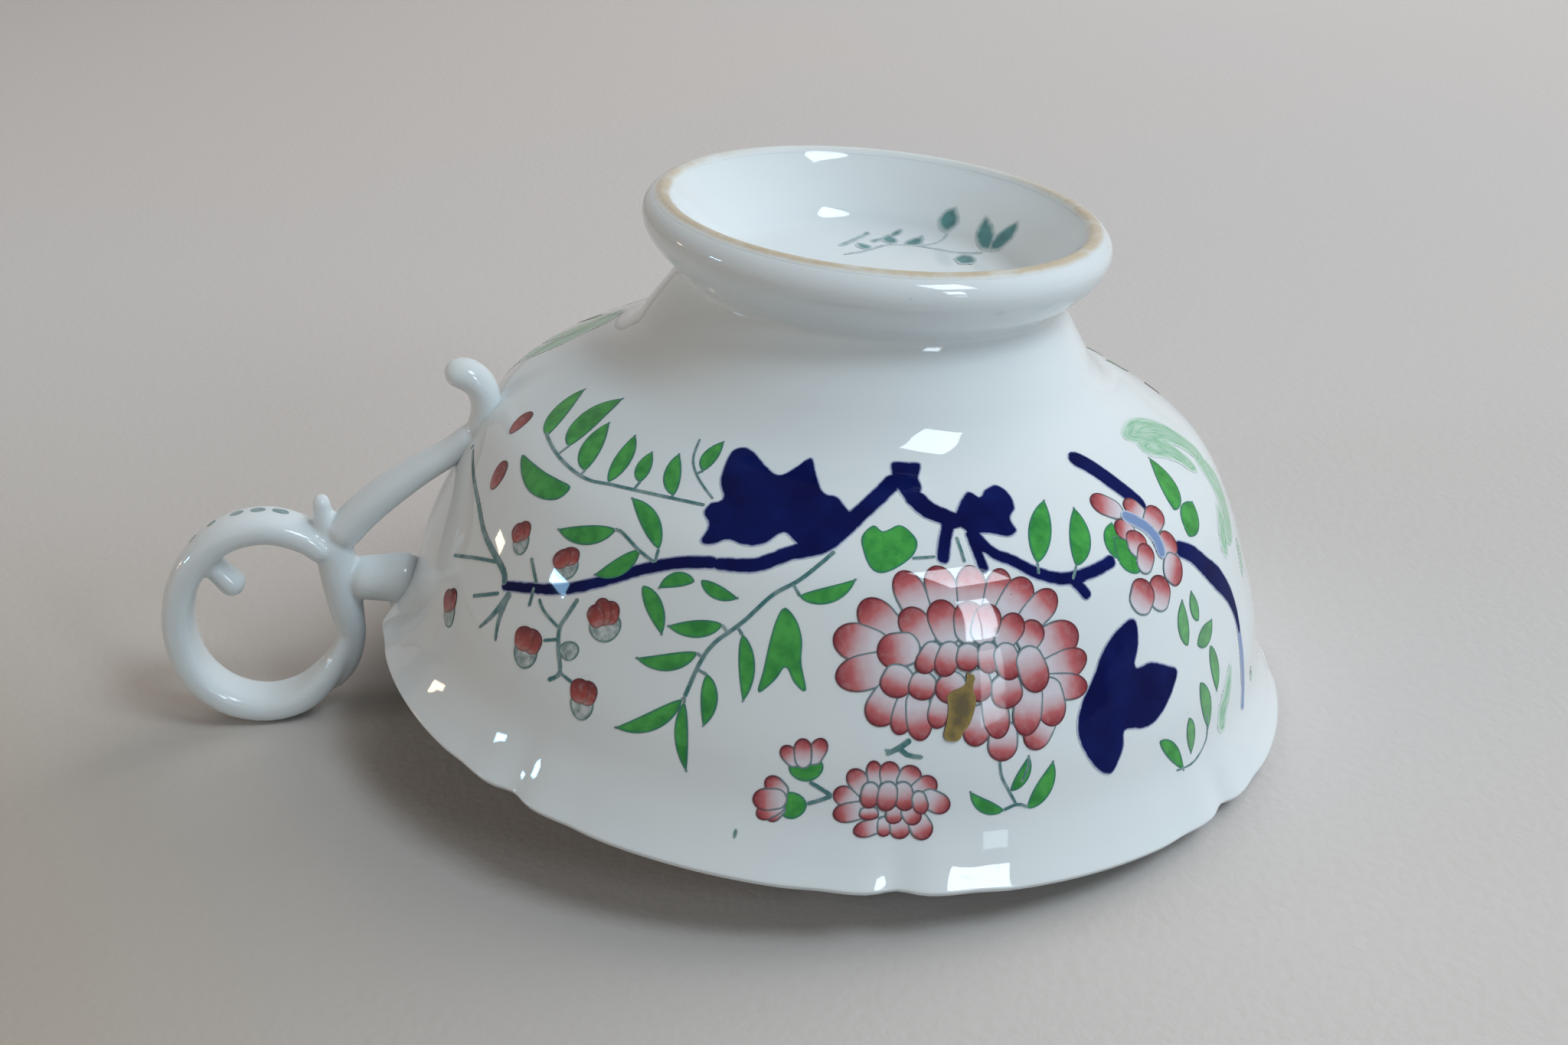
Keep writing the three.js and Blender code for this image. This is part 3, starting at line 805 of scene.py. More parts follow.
class Wall:
    """The outside of the cup as a sheet: turn in degrees, and millimetres up it from the rim."""

    def __init__(self):
        self.line = smooth_line(OVER, WALL_STEPS * (len(OVER) - 1))
        self.run = running_length(np.diff(self.line, axis=0))
        self.notch_depth = shape().notch_depth

    def degree(self, up):
        """Millimetres round the cup in one degree of turn."""
        return math.radians(1) * both_at(up, self.run, self.line)[0]

    def bare(self, turn, up):
        """Points on the glaze itself."""
        return turned(turn, *both_at(up, self.run, self.line), self.notch_depth)

    def place(self, turn, up, lift):
        """Points so many millimetres off the glaze, and its normals there."""
        step = 0.05
        round_axis = self.bare(turn + step, up) - self.bare(turn - step, up)
        normal = unit(np.cross(round_axis, self.bare(turn, up + step) - self.bare(turn, up - step)))
        return self.bare(turn, up) + MM * lift[..., None] * normal, normal


class RingTop:
    """The outer side of the handle's ring as a sheet: millimetres along it and across it."""

    def __init__(self, mesh):
        fine = smooth_line(RING["route"], LIMB_STEPS)
        self.run = running_length(np.diff(fine, axis=0))
        self.line = fine + RING_HALF * left_of(unit(np.gradient(fine, axis=0)))
        faces = [tuple(p.vertices) for p in mesh.polygons]
        self.skin = BVHTree.FromPolygons([v.co[:] for v in mesh.vertices], faces)

    def degree(self, up):
        """One, because the first coordinate is in millimetres here."""
        return np.ones_like(up)

    def place(self, along, across, lift):
        """Points so many millimetres off the glaze, and its normals there."""
        out, height = both_at(along, self.run, self.line)
        spots = MM * np.stack([across, -out, RIM_Z + height], -1)
        hits = [self.skin.find_nearest(Vector(spot)) for spot in spots.reshape(-1, 3)]
        points, normals = (np.array([h[k] for h in hits]).reshape(spots.shape) for k in (0, 1))
        return points + MM * lift[..., None] * normals, normals


def distance_to(outline, points, scale=1.0):
    """Each point's distance to a closed outline, with both axes stretched by the point's scale."""
    step = (np.roll(outline, -1, 0) - outline)[None] * scale
    to = (points[:, None] - outline[None]) * scale
    share = np.clip((to * step).sum(-1) / np.maximum((step**2).sum(-1), NO_AREA), 0, 1)
    return np.linalg.norm(to - share[..., None] * step, axis=-1).min(1)


def is_inside(outline, points):
    """Which points lie inside a closed outline."""
    x, y = points[:, :1], points[:, 1:]
    a, b = outline, np.roll(outline, -1, 0)
    crosses = (a[:, 1] > y) != (b[:, 1] > y)
    rise = np.where(b[:, 1] == a[:, 1], NO_AREA, b[:, 1] - a[:, 1])
    at = a[:, 0] + (y - a[:, 1]) * (b[:, 0] - a[:, 0]) / rise
    return ((crosses & (x < at)).sum(1) % 2) == 1


def nearest(strokes, place, scale):
    """The point of the strokes closest to a place, and how many millimetres it is away."""
    points = np.vstack([smooth_line(route, NEAR_STEPS * len(route)) for _, route in strokes])
    gaps = np.linalg.norm((points - place) * scale, axis=1)
    return points[gaps.argmin()], gaps.min()


def leaf_form(q):
    """Half width of a pointed leaf, as a share of its greatest, from its base to its tip."""
    base, tip, greatest = 0.7, 0.85, 0.344
    return q**base * (1 - q) ** tip / greatest


def petal_form(q):
    """Half width of a petal, round at both ends and widest towards the outer one."""
    root, widest, narrow, gain = 0.25, 0.6, 0.84, 0.24
    opening = narrow + gain * np.sin(np.clip(q / widest, 0, 1) * math.pi / 2)
    ends = np.sqrt(np.clip(1 - (np.clip(q - widest, 0, 1) / (1 - widest)) ** 2, 0, 1))
    return opening * dome(q / root) * ends


def oval_form(q):
    """Half width of a bud or of a cup of leaves, a little fuller towards its tip."""
    narrow, gain = 0.88, 0.24
    return np.sqrt(np.clip(1 - (2 * q - 1) ** 2, 0, 1)) * (narrow + gain * q)


# One shape of paint: places on the sheet, lift, faces, for each place how far along the shape it
# is and how many millimetres inside its outline, and the outline itself
Daub = namedtuple("Daub", "places lift faces along edge outline")


class Paint:
    """Shapes of one pigment on a sheet of the cup, gathered into one mesh.

    Each vertex keeps how far along its shape it is, from 0 to 1, and how many millimetres it is
    inside its outline. Where the shapes run together, that is the outline of them all. A skirt
    joins every shape to the glaze, so that none hangs in the air.
    """

    def __init__(self, sheet, turns=(0,), together=False):
        self.sheet = sheet
        self.turns = turns
        self.together = together
        self.daubs = []

    def scale(self, up):
        """Millimetres in one unit of both coordinates, so far up the sheet."""
        degree = self.sheet.degree(np.asarray(up, float))
        return np.stack([degree, np.ones_like(degree)], -1)

    def depth(self, places, outline):
        """How many millimetres places lie inside an outline on the sheet, and 0 outside it."""
        low, high = outline.min(0), outline.max(0)
        found = np.zeros(len(places))
        close = np.flatnonzero(((places >= low) & (places <= high)).all(1))
        close = close[is_inside(outline, places[close])]
        if len(close):
            scale = self.scale(places[close, 1])[:, None]
            found[close] = distance_to(outline, places[close], scale)
        return found

    def edge_of(self, daub):
        """How deep each vertex of a daub lies, with the others counted if they run together."""
        if not self.together:
            return daub.edge
        others = [other.outline for other in self.daubs if other is not daub]
        return np.maximum.reduce([daub.edge] + [self.depth(daub.places, line) for line in others])

    def ribbon(self, line, half, lift, along, sides=None, to_end=None):
        """A strip along a line of places, with its half width in millimetres at each of them.

        Its columns lie at shares of that from -1 to 1. A stroke says how far each place is from
        its ends, and the depth of its vertices follows from that.
        """
        scale = self.scale(line[:, 1])
        left = left_of(unit(np.gradient(line, axis=0) * scale), scale)
        if sides is None:
            sides = np.linspace(-1, 1, 2 * max(1, math.ceil(half.max() / STROKE_GRAIN)) + 1)
        sides = np.asarray(sides, float)
        places = line[:, None] + sides[:, None] * (half[:, None] * left)[:, None]
        rows, columns = places.shape[:2]
        number = np.arange(rows * columns).reshape(rows, columns)
        flat = places.reshape(-1, 2)
        border = [number[:, 0], number[-1, 1:], number[-2::-1, -1], number[0, -2:0:-1]]
        outline = flat[np.concatenate(border)]
        if to_end is None:
            scale = self.scale(flat[:, 1].mean())
            edge = distance_to(outline * scale, flat * scale)
        else:
            edge = np.minimum((1 - np.abs(sides)) * half[:, None], to_end[:, None]).ravel()
        faces = grid_faces(number[:-1], number[1:])
        self.daubs.append(Daub(flat, lift, faces, np.repeat(along, columns), edge, outline))

    def brush(self, route, width, lift):
        """A stroke through places on the sheet, with round ends and one or several widths."""
        fine = smooth_line(route, STROKE_STEPS * (len(route) - 1))
        degree = self.sheet.degree(fine[:, 1])
        steps = np.diff(fine, axis=0)
        steps[:, 0] *= (degree[1:] + degree[:-1]) / 2
        run = running_length(steps)
        length = run[-1]
        widths = width if isinstance(width, tuple) else (width, width)
        cap = min(max(widths[0], widths[-1]) / 2, length / 2)
        curve = cap * (1 - np.cos(np.linspace(0, math.pi / 2, CAP_ROWS)))
        rows = max(2, int((length - 2 * cap) / STROKE_GRAIN) + 1)
        middle = np.linspace(cap, length - cap, rows)
        at = np.concatenate([curve[:-1], middle, length - curve[-2::-1]])
        at = at[np.concatenate([[True], np.diff(at) > CLOSEST_ROWS])]
        line = np.stack(both_at(at, run, fine), -1)
        to_end = np.minimum(at, length - at)
        half = np.interp(at / length, np.linspace(0, 1, len(widths)), widths) / 2
        half = half * dome(to_end / cap, CAP_END_LEAST)
        self.ribbon(line, half, lift, at / length, to_end=to_end)

    def blade(self, root_turn, root_up, tip_turn, tip_up, width, bend, form, lift, reach=0.0):
        """A leaf or petal from its root to its tip, bowed to its left. Gives back its middle line.

        It also reaches back behind its root by a share of its length.
        """
        q = eased(BLADE_ROWS)
        root, tip = np.array([root_turn, root_up]), np.array([tip_turn, tip_up])
        root = root - reach * (tip - root)
        scale = self.scale((root_up + tip_up) / 2)
        left = left_of(unit((tip - root) * scale), scale)
        line = root + q[:, None] * (tip - root) + (4 * q * (1 - q) * bend)[:, None] * left
        half = np.maximum(form(q), BLADE_LEAST) * width / 2
        self.ribbon(line, half, lift, np.clip(q * (1 + reach) - reach, 0, 1), BLADE_SIDES)
        return line

    def patch(self, outline, lift):
        """A leaf with a free outline, filled with small triangles."""
        scale = self.scale(np.mean([up for _, up in outline]))
        spans = len(outline) + 2
        ring = smooth_line(outline[-1:] + outline + outline[:2], OUTLINE_STEPS * spans)
        ring = ring[OUTLINE_STEPS : OUTLINE_STEPS * (spans - 1) + 1] * scale
        run = running_length(np.diff(ring, axis=0))
        at = np.linspace(0, run[-1], int(run[-1] / OUTLINE_GRAIN))[:-1]
        border = np.stack(both_at(at, run, ring), -1)
        after = np.roll(border, -1, 0)
        turned_left = (border[:, 0] * after[:, 1] - border[:, 1] * after[:, 0]).sum() > 0
        border = border if turned_left else border[::-1]
        inset = border + INSET * left_of(unit(np.roll(border, -1, 0) - np.roll(border, 1, 0)))
        spread = (np.arange(a, b, INNER_GRAIN) for a, b in zip(border.min(0), border.max(0)))
        inner = np.vstack([inset, np.stack(np.meshgrid(*spread), -1).reshape(-1, 2)])
        clear = np.where(np.arange(len(inner)) < len(inset), INSET_CLEAR, INNER_CLEAR)
        keep = is_inside(border, inner) & (distance_to(border, inner) > clear)
        points = [Vector(p) for p in np.vstack([border, inner[keep]])]
        found = delaunay_2d_cdt(points, [], [list(range(len(border)))], CDT_INSIDE, CDT_MERGE)
        flat = np.array([v[:] for v in found[0]])
        faces = np.array([list(face) for face in found[2]])
        edge = distance_to(border, flat)
        self.daubs.append(
            Daub(flat / scale, lift, faces, np.full(len(flat), MIDWAY), edge, border / scale)
        )

    def hoop(self, span, lift):
        """A band right round the sheet between two lengths up it."""
        up = np.linspace(*span, HOOP_COLUMNS)
        places = np.stack(np.meshgrid(facet_turns(), up, indexing="ij"), -1).reshape(-1, 2)
        number = np.arange(len(places)).reshape(-1, HOOP_COLUMNS)
        faces = grid_faces(number, np.roll(number, -1, 0))
        edge = np.minimum(places[:, 1] - span[0], span[1] - places[:, 1])
        self.daubs.append(Daub(places, lift, faces, np.full(len(places), MIDWAY), edge, places))

    def piece(self, name):
        """The finished mesh, with its normals taken from the sheet below."""
        edges = [self.edge_of(daub) for daub in self.daubs]
        faces, parts, count = [], [], 0
        for turn in self.turns:
            for daub, edge in zip(self.daubs, edges):
                faces += [tuple(int(v) + count for v in face) for face in daub.faces]
                places = daub.places + (turn, 0)
                parts.append((places, np.full(len(places), daub.lift), daub.along, edge))
                count += len(places)
        places, lift, along, edge = (np.concatenate(values) for values in zip(*parts))
        sides = {}
        for face in faces:
            for a, b in zip(face, face[1:] + face[:1]):
                if sides.pop((b, a), None) is None:
                    sides[a, b] = True
        border = sorted({v for side in sides for v in side})
        low = {v: len(places) + k for k, v in enumerate(border)}
        faces += [(low[a], low[b], b, a) for a, b in sides]
        places = np.vstack([places, places[border]])
        lift = np.concatenate([lift, np.full(len(border), SKIRT_DROP)])
        points, normals = self.sheet.place(places[:, 0], places[:, 1], lift)
        made = mesh_piece(name, points, faces, normals)
        for title, values in (("along", along), ("edge", edge)):
            layer = made.data.attributes.new(title, "FLOAT", "POINT")
            layer.data.foreach_set("value", np.concatenate([values, values[border]]))
        return made


class Finish:
    """A glazed material, built node by node."""

    def __init__(self, name, roughness=0.3, coat=1.0):
        self.material = bpy.data.materials.new(name)
        self.material.use_nodes = True
        self.nodes = self.material.node_tree.nodes
        self.links = self.material.node_tree.links
        self.shader = self.nodes["Principled BSDF"]
        for socket, value in (
            ("Roughness", roughness), ("IOR", GLAZE_IOR), ("Specular IOR Level", 0.0),
            ("Coat Weight", coat), ("Coat Roughness", COAT_ROUGHNESS),
        ):
            self.shader.inputs[socket].default_value = value
        self.coordinates = self.nodes.new("ShaderNodeTexCoord").outputs["Object"]

    def node(self, kind, **inputs):
        """A new node, with its sockets set by name."""
        made = self.nodes.new(kind)
        for name, value in inputs.items():
            self.put(value, made.inputs[name.replace("_", " ")])
        return made

    def put(self, value, socket):
        """Links an output to a socket, or sets the socket's own value."""
        if isinstance(value, bpy.types.NodeSocket):
            self.links.new(value, socket)
        elif socket.type == "RGBA":
            socket.default_value = (*value, 1)
        else:
            socket.default_value = value

    def between(self, value, *span):
        """A value stretched from one range to another, else to 0 and 1, and kept inside it."""
        made = self.node("ShaderNodeMapRange", Value=value)
        for name, bound in zip(("From Min", "From Max", "To Min", "To Max"), span):
            made.inputs[name].default_value = bound
        return made.outputs["Result"]

    def noise(self, scale, detail=2.0):
        """Soft noise with features of about 1/scale metres, from 0 to 1."""
        made = self.node("ShaderNodeTexNoise", Vector=self.coordinates, Scale=scale, Detail=detail)
        return made.outputs["Fac"]

    def cloud(self, scale, detail, *span):
        """Soft noise, stretched as between does."""
        return self.between(self.noise(scale, detail), *span)

    def mix(self, share, first, second):
        """The first colour with so large a share of the second."""
        made = self.nodes.new("ShaderNodeMix")
        made.data_type = "RGBA"
        self.put(share, made.inputs["Factor"])
        self.put(first, made.inputs[COLOUR_A])
        self.put(second, made.inputs[COLOUR_B])
        return made.outputs[COLOUR_OUT]

    def math(self, operation, first, second):
        """The result of an operation on two values."""
        made = self.nodes.new("ShaderNodeMath")
        made.operation = operation
        self.put(first, made.inputs[0])
        self.put(second, made.inputs[1])
        return made.outputs[0]

    def times(self, first, second):
        """The product of two values."""
        return self.math("MULTIPLY", first, second)

    def kept(self, name):
        """A value that the mesh keeps at its vertices."""
        made = self.nodes.new("ShaderNodeAttribute")
        made.attribute_name = name
        return made.outputs["Fac"]

    def wander(self, name, scale, reach):
        """A value that the mesh keeps, with noise of so much reach added to it."""
        offset = self.cloud(scale, *WANDERING, -reach, reach)
        return self.math("ADD", self.kept(name), offset)

    def inward(self, scale, reach, *span):
        """The wandering depth inside the painted outline, stretched as between does."""
        return self.between(self.wander("edge", scale, reach), *span)

    def hairs(self):
        """Streaks along a stroke, such as the hairs of a brush leave, from 0 to 1."""
        place = self.node("ShaderNodeCombineXYZ", X=self.kept("along"), Y=self.kept("edge"))
        spot = place.outputs["Vector"]
        made = self.node("ShaderNodeTexNoise", Vector=spot, Scale=HAIRS, Detail=2.0)
        return made.outputs["Fac"]

    def round_patch(self, centre, reach):
        """One round patch in the piece's plane: 1 at its centre, and 0 from its reach on."""
        place = self.node("ShaderNodeMapping", Vector=self.coordinates)
        for axis in range(2):
            place.inputs["Scale"].default_value[axis] = 1 / reach[axis]
            place.inputs["Location"].default_value[axis] = -centre[axis] / reach[axis]
        place.inputs["Scale"].default_value[2] = 0.0
        made = self.node("ShaderNodeTexGradient", Vector=place.outputs["Vector"])
        made.gradient_type = "QUADRATIC_SPHERE"
        return made.outputs["Fac"]

    def ramp(self, value, places, tones):
        """A colour that passes through a tone at each place."""
        made = self.node("ShaderNodeValToRGB", Fac=value)
        elements = made.color_ramp.elements
        for _ in places[2:]:
            elements.new(MIDWAY)
        for element, place, tone in zip(elements, places, tones):
            element.position = place
            element.color = (*tone, 1)
        return made.outputs["Color"]

    def bumps(self, height, depth, *sockets):
        """Relief of so much depth in metres on the shader's normals."""
        bump = self.node("ShaderNodeBump", Height=height, Distance=depth)
        for socket in sockets:
            self.links.new(bump.outputs["Normal"], self.shader.inputs[socket])

    def colour(self, value):
        """The finished material in its base colour."""
        self.put(value, self.shader.inputs["Base Color"])
        return self.material


def colours():
    """The colours set in the sidebar."""
    return bpy.context.scene.cup_colours


def shape():
    """The sizes set in the sidebar."""
    return bpy.context.scene.cup_shape


def glaze(name):
    """Clear glaze over cool white porcelain with rare specks. Gives it, and its body's colour."""
    finish = Finish(name)
    finish.bumps(finish.noise(*RIPPLES), RIPPLE_DEPTH, "Normal", "Coat Normal")
    finish.put(finish.cloud(*SHEEN), finish.shader.inputs["Roughness"])
    body = finish.mix(finish.cloud(*BODY_TINT), colours().porcelain, colours().porcelain_shade)
    cell = finish.node("ShaderNodeTexVoronoi", Vector=finish.coordinates, Scale=SPECK_CELLS)
    dot = finish.between(cell.outputs["Distance"], *SPECK_FADES)
    return finish, finish.mix(finish.times(dot, finish.cloud(*SPECK_FIELDS)), body, SPECK)


def porcelain(name):
    """The bare glazed body."""
    finish, body = glaze(name)
    return finish.colour(body)


def cobalt():
    """Dark blue under the glaze, watery at its edges and uneven where the brush ran dry."""
    finish, body = glaze("cobalt_under_glaze")
    finish.shader.inputs["Coat Weight"].default_value = COBALT_COAT
    blue = finish.mix(finish.cloud(*COBALT_DEPTH), colours().cobalt, colours().cobalt_thin)
    thin = finish.mix(WATERY_SHARE, body, WATERY_BLUE)
    thin = finish.mix(finish.inward(*COBALT_WATERY), body, thin)
    return finish.colour(finish.mix(finish.inward(*COBALT_FULL), thin, blue))


def pale_wash():
    """A broad stroke of thin green that fades at its edges."""
    finish, body = glaze("pale_green_wash")
    hairs = finish.between(finish.hairs(), *HAIRS_SHOWN)
    green = finish.mix(hairs, colours().pale_green, WASH_STREAK)
    share = finish.times(finish.inward(*WASH_EDGE), hairs)
    return finish.colour(finish.mix(share, body, green))


def pale_blue():
    """A thin blue stroke across the side flower."""
    finish, body = glaze("pale_blue_wash")
    return finish.colour(finish.mix(finish.inward(*BAND_EDGE), body, BAND_BLUE))


def green_enamel(name, share):
    """Green enamel washed into the printed outline of a leaf, with so much of it at the most."""
    finish, body = glaze(name)
    green = finish.mix(finish.cloud(*GREEN_POOLS), colours().green, colours().green_deep)
    worn = finish.cloud(*GREEN_WEAR, 1 - share, LEAF_WEAR_MOST - share)
    line = finish.inward(*LEAF_LINE, 0, LEAF_LINE_MOST * share)
    return finish.colour(finish.mix(line, finish.mix(worn, green, body), colours().print_teal))


def teal_print(name, strength, least=0.3):
    """The printed line, softly broken where the transfer took less."""
    finish, body = glaze(name)
    reach = finish.inward(*PRINT_EDGE, least, strength)
    share = finish.times(reach, finish.cloud(*PRINT_BREAKS))
    return finish.colour(finish.mix(share, body, colours().print_teal))


def petals():
    """Red enamel that pales towards the root of each petal, inside a printed outline."""
    finish, body = glaze("petal_enamel")
    along = finish.wander("along", *PETAL_ALONG)
    tones = (colours().petal_root, *PETAL_MIDDLE, colours().petal_red)
    wash = finish.mix(finish.cloud(*PETAL_WEAR), finish.ramp(along, PETAL_STOPS, tones), body)
    ink = finish.mix(finish.between(along, *INK_CHANGES), ROOT_INK, TIP_INK)
    return finish.colour(finish.mix(finish.inward(*PETAL_LINE), wash, ink))


def bud_red():
    """Deep red of the closed buds, darker at the printed outline of each lobe."""
    finish, body = glaze("bud_enamel")
    wash = finish.ramp(finish.wander("along", *BUD_ALONG), BUD_STOPS, BUD_TONES)
    wash = finish.mix(finish.cloud(*BUD_WEAR), wash, body)
    return finish.colour(finish.mix(finish.inward(*BUD_LINE), wash, BUD_INK))


def bud_cup():
    """The grey green cup under a bud, printed and hardly filled in."""
    finish, body = glaze("bud_cup_print")
    filled = finish.mix(finish.cloud(*CUP_HATCH), body, CUP_GREY)
    return finish.colour(finish.mix(finish.inward(*CUP_LINE), filled, colours().print_teal))


def sprig_teal():
    """The stronger teal of the sprig in the foot."""
    finish, body = glaze("sprig_print")
    teal = finish.mix(finish.cloud(*SPRIG_POOLS), SPRIG_DARK, SPRIG_LIGHT)
    return finish.colour(finish.mix(finish.inward(*SPRIG_EDGE), body, teal))


def foot_gold():
    """Thin gilding worn back to the glaze in places, most of all on the side away from +X."""
    finish, body = glaze("foot_gilding_gold")
    worn = finish.times(finish.cloud(*GILDING_WEAR), finish.inward(*GILDING_EDGE))
    side = finish.node("ShaderNodeSeparateXYZ", Vector=finish.coordinates).outputs["X"]
    share = finish.times(worn, finish.between(side, *GILDING_FADES))
    gold = finish.mix(finish.cloud(*GOLD_TONES), colours().gilding, GOLD_SHADE)
    finish.put(finish.times(share, GILDING_METAL), finish.shader.inputs["Metallic"])
    return finish.colour(finish.mix(share, body, gold))


def smeared_gold():
    """A drop of brown gold that fell on the flower."""
    finish, body = glaze("gold_drop")
    gold = finish.mix(finish.inward(*DROP_DEPTH), DROP_THIN, DROP_THICK)
    return finish.colour(finish.mix(finish.inward(*DROP_EDGE), body, gold))


def cloth():
    """Pale matt cloth, with painted warm shade in one round patch."""
    finish = Finish("pale_cloth", CLOTH_ROUGHNESS, coat=0.0)
    base = finish.mix(finish.cloud(*CLOTH_TINT), colours().floor, CLOTH_COOL)
    # Painted shade: the round patch turns the cloth darker and warmer
    painted_shade = finish.between(finish.round_patch(PAINTED_SHADE_PLACE, PAINTED_SHADE_REACH), *PAINTED_SHADE_SHOWN)
    base = finish.mix(painted_shade, base, CLOTH_PAINTED_SHADE)
    weave = finish.noise(*WEAVE)
    finish.bumps(weave, WEAVE_DEPTH, "Normal")
    return finish.colour(finish.mix(finish.between(weave, *THREADS_SHOWN), base, CLOTH_THREAD))


def dress(piece, material, slot, *nodes):
    """Gives a piece its material, its body and the nodes that it stands for. The slot is not used."""
    piece.data.materials.clear()
    piece.data.materials.append(material)
    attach(piece, "root")
    if nodes:
        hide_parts(*nodes)


def on_wall(together=False):
    """An empty layer of paint for the outside of the bowl, the same on both its sides."""
    return Paint(Wall(), SPRAY_TURNS, together)


def size_property(kind, name, description, default, least, most):
    """A size or a count in the sidebar."""
    return kind(name=name, description=description, default=default, min=least, max=most)


class CupShape(bpy.types.PropertyGroup):
    """Sizes of the cup that a user may change"""

    notch_depth: size_property(
        FloatProperty, "Notch depth", "How far a notch draws the rim in, in millimetres", 0.85, 0, 2
    )
    facets: size_property(
        IntProperty, "Facets", "Faces round the axis of the bowl and the foot", 320, 96, 640
    )
    handle_voxel: size_property(
        FloatProperty, "Handle voxel", "Grain of the handle's skin, in millimetres", 0.26, 0.15, 1
    )
    handle_softness: size_property(
        IntProperty, "Handle softness", "Rounds of smoothing that fillet its joints", 10, 0, 60
    )


def colour_property(name, description, colour):
    """A colour in the sidebar."""
    return FloatVectorProperty(
        name=name, description=description, subtype="COLOR", size=3, min=0, max=1, default=colour
    )


class CupColours(bpy.types.PropertyGroup):
    """Colours of the cup and the cloth that a user may change"""

    porcelain: colour_property("Porcelain", "White of the glazed body", (0.74, 0.80, 0.82))
    porcelain_shade: colour_property("Porcelain shade", "Cooler tint in it", (0.68, 0.75, 0.79))
    cobalt: colour_property("Cobalt", "Blue where it lies thick", (0.0, 0.002, 0.058))
    cobalt_thin: colour_property("Thin cobalt", "Blue where it lies thin", (0.001, 0.009, 0.11))
    green: colour_property("Green", "Enamel of the leaves", (0.052, 0.37, 0.06))
    green_deep: colour_property("Deep green", "Enamel where it pooled", (0.01, 0.22, 0.032))
    pale_green: colour_property("Pale green", "Thin wash at the side", (0.34, 0.60, 0.38))
    print_teal: colour_property("Print", "Teal of the printed lines", (0.015, 0.14, 0.145))
    petal_red: colour_property("Petal red", "Outer end of a petal", (0.27, 0.022, 0.035))
    petal_root: colour_property("Petal root", "Inner end of a petal", (0.66, 0.63, 0.69))
    gilding: colour_property("Gilding", "Worn gold of the foot", (0.60, 0.46, 0.26))
    floor: colour_property("Floor", "Pale cloth under the cup", (0.63, 0.6, 0.58))


class CUP_OT_bowl(bpy.types.Operator):
    """Turns the lobed bowl with its flared lip, and the rolled foot ring on it"""

    bl_idname = "cup.bowl"
    bl_label = "Bowl and foot ring"

    def execute(self, context):
        points, normals, start, end = body_grid()
        keep = list(range(start + 1)) + list(range(end, len(points)))
        bowl = turned_piece("bowl_body", points[keep], normals[keep], closed=False)
        dress(bowl, porcelain("bowl_porcelain"), "bowl_glaze", "bowl")
        rows = slice(start, end + 1)
        foot = turned_piece("foot_ring_body", points[rows], normals[rows], closed=True)
        dress(foot, porcelain("foot_porcelain"), "foot_glaze", "foot_ring")
        return {"FINISHED"}


class CUP_OT_handle(bpy.types.Operator):
    """Grows the handle: ring, stem, arm with its scroll, spur, bud and stub under one glaze"""

    bl_idname = "cup.handle"
    bl_label = "Ring handle"

    def execute(self, context):
        mesh = handle_mesh(HANDLE.values(), shape().handle_voxel, shape().handle_softness)
        handle = placed("handle_body", mesh)
        dress(handle, porcelain("handle_porcelain"), "handle_glaze", *HANDLE)
        dashes = Paint(RingTop(mesh))
        for start, end in RING_DASHES:
            dashes.brush([(start, DASH_ACROSS), (end, DASH_ACROSS)], DASH_WIDTH, DASH_LIFT)
        dress(dashes.piece("ring_dashes"), teal_print("dash_print", strength=0.8), "teal_print")
        return {"FINISHED"}


class CUP_OT_gilding(bpy.types.Operator):
    """Lays the worn gold line on the foot's edge"""

    bl_idname = "cup.gilding"
    bl_label = "Gilding"

    def execute(self, context):
        line = Paint(Wall())
        line.hoop(FOOT_GILDING, GILDING_LIFT)
        dress(line.piece("foot_gilding"), foot_gold(), "worn_gilding")
        return {"FINISHED"}


class CUP_OT_branches(bpy.types.Operator):
    """Paints the blue branches and their leaves"""

    bl_idname = "cup.branches"
    bl_label = "Blue branches"

    def execute(self, context):
        blue = on_wall(together=True)
        for number, (width, route) in enumerate(COBALT_STROKES):
            blue.brush(route, width, COBALT_LIFT + STROKE_RISE * (number % 4))
        for outline in (BRANCH_KNOT, BIG_LEAF, SMALL_LEAF, THREE_LOBED_LEAF):
            blue.patch(outline, COBALT_LIFT + SHAPE_RISE)
        dress(blue.piece("blue_branches"), cobalt(), "cobalt_blue")
        return {"FINISHED"}


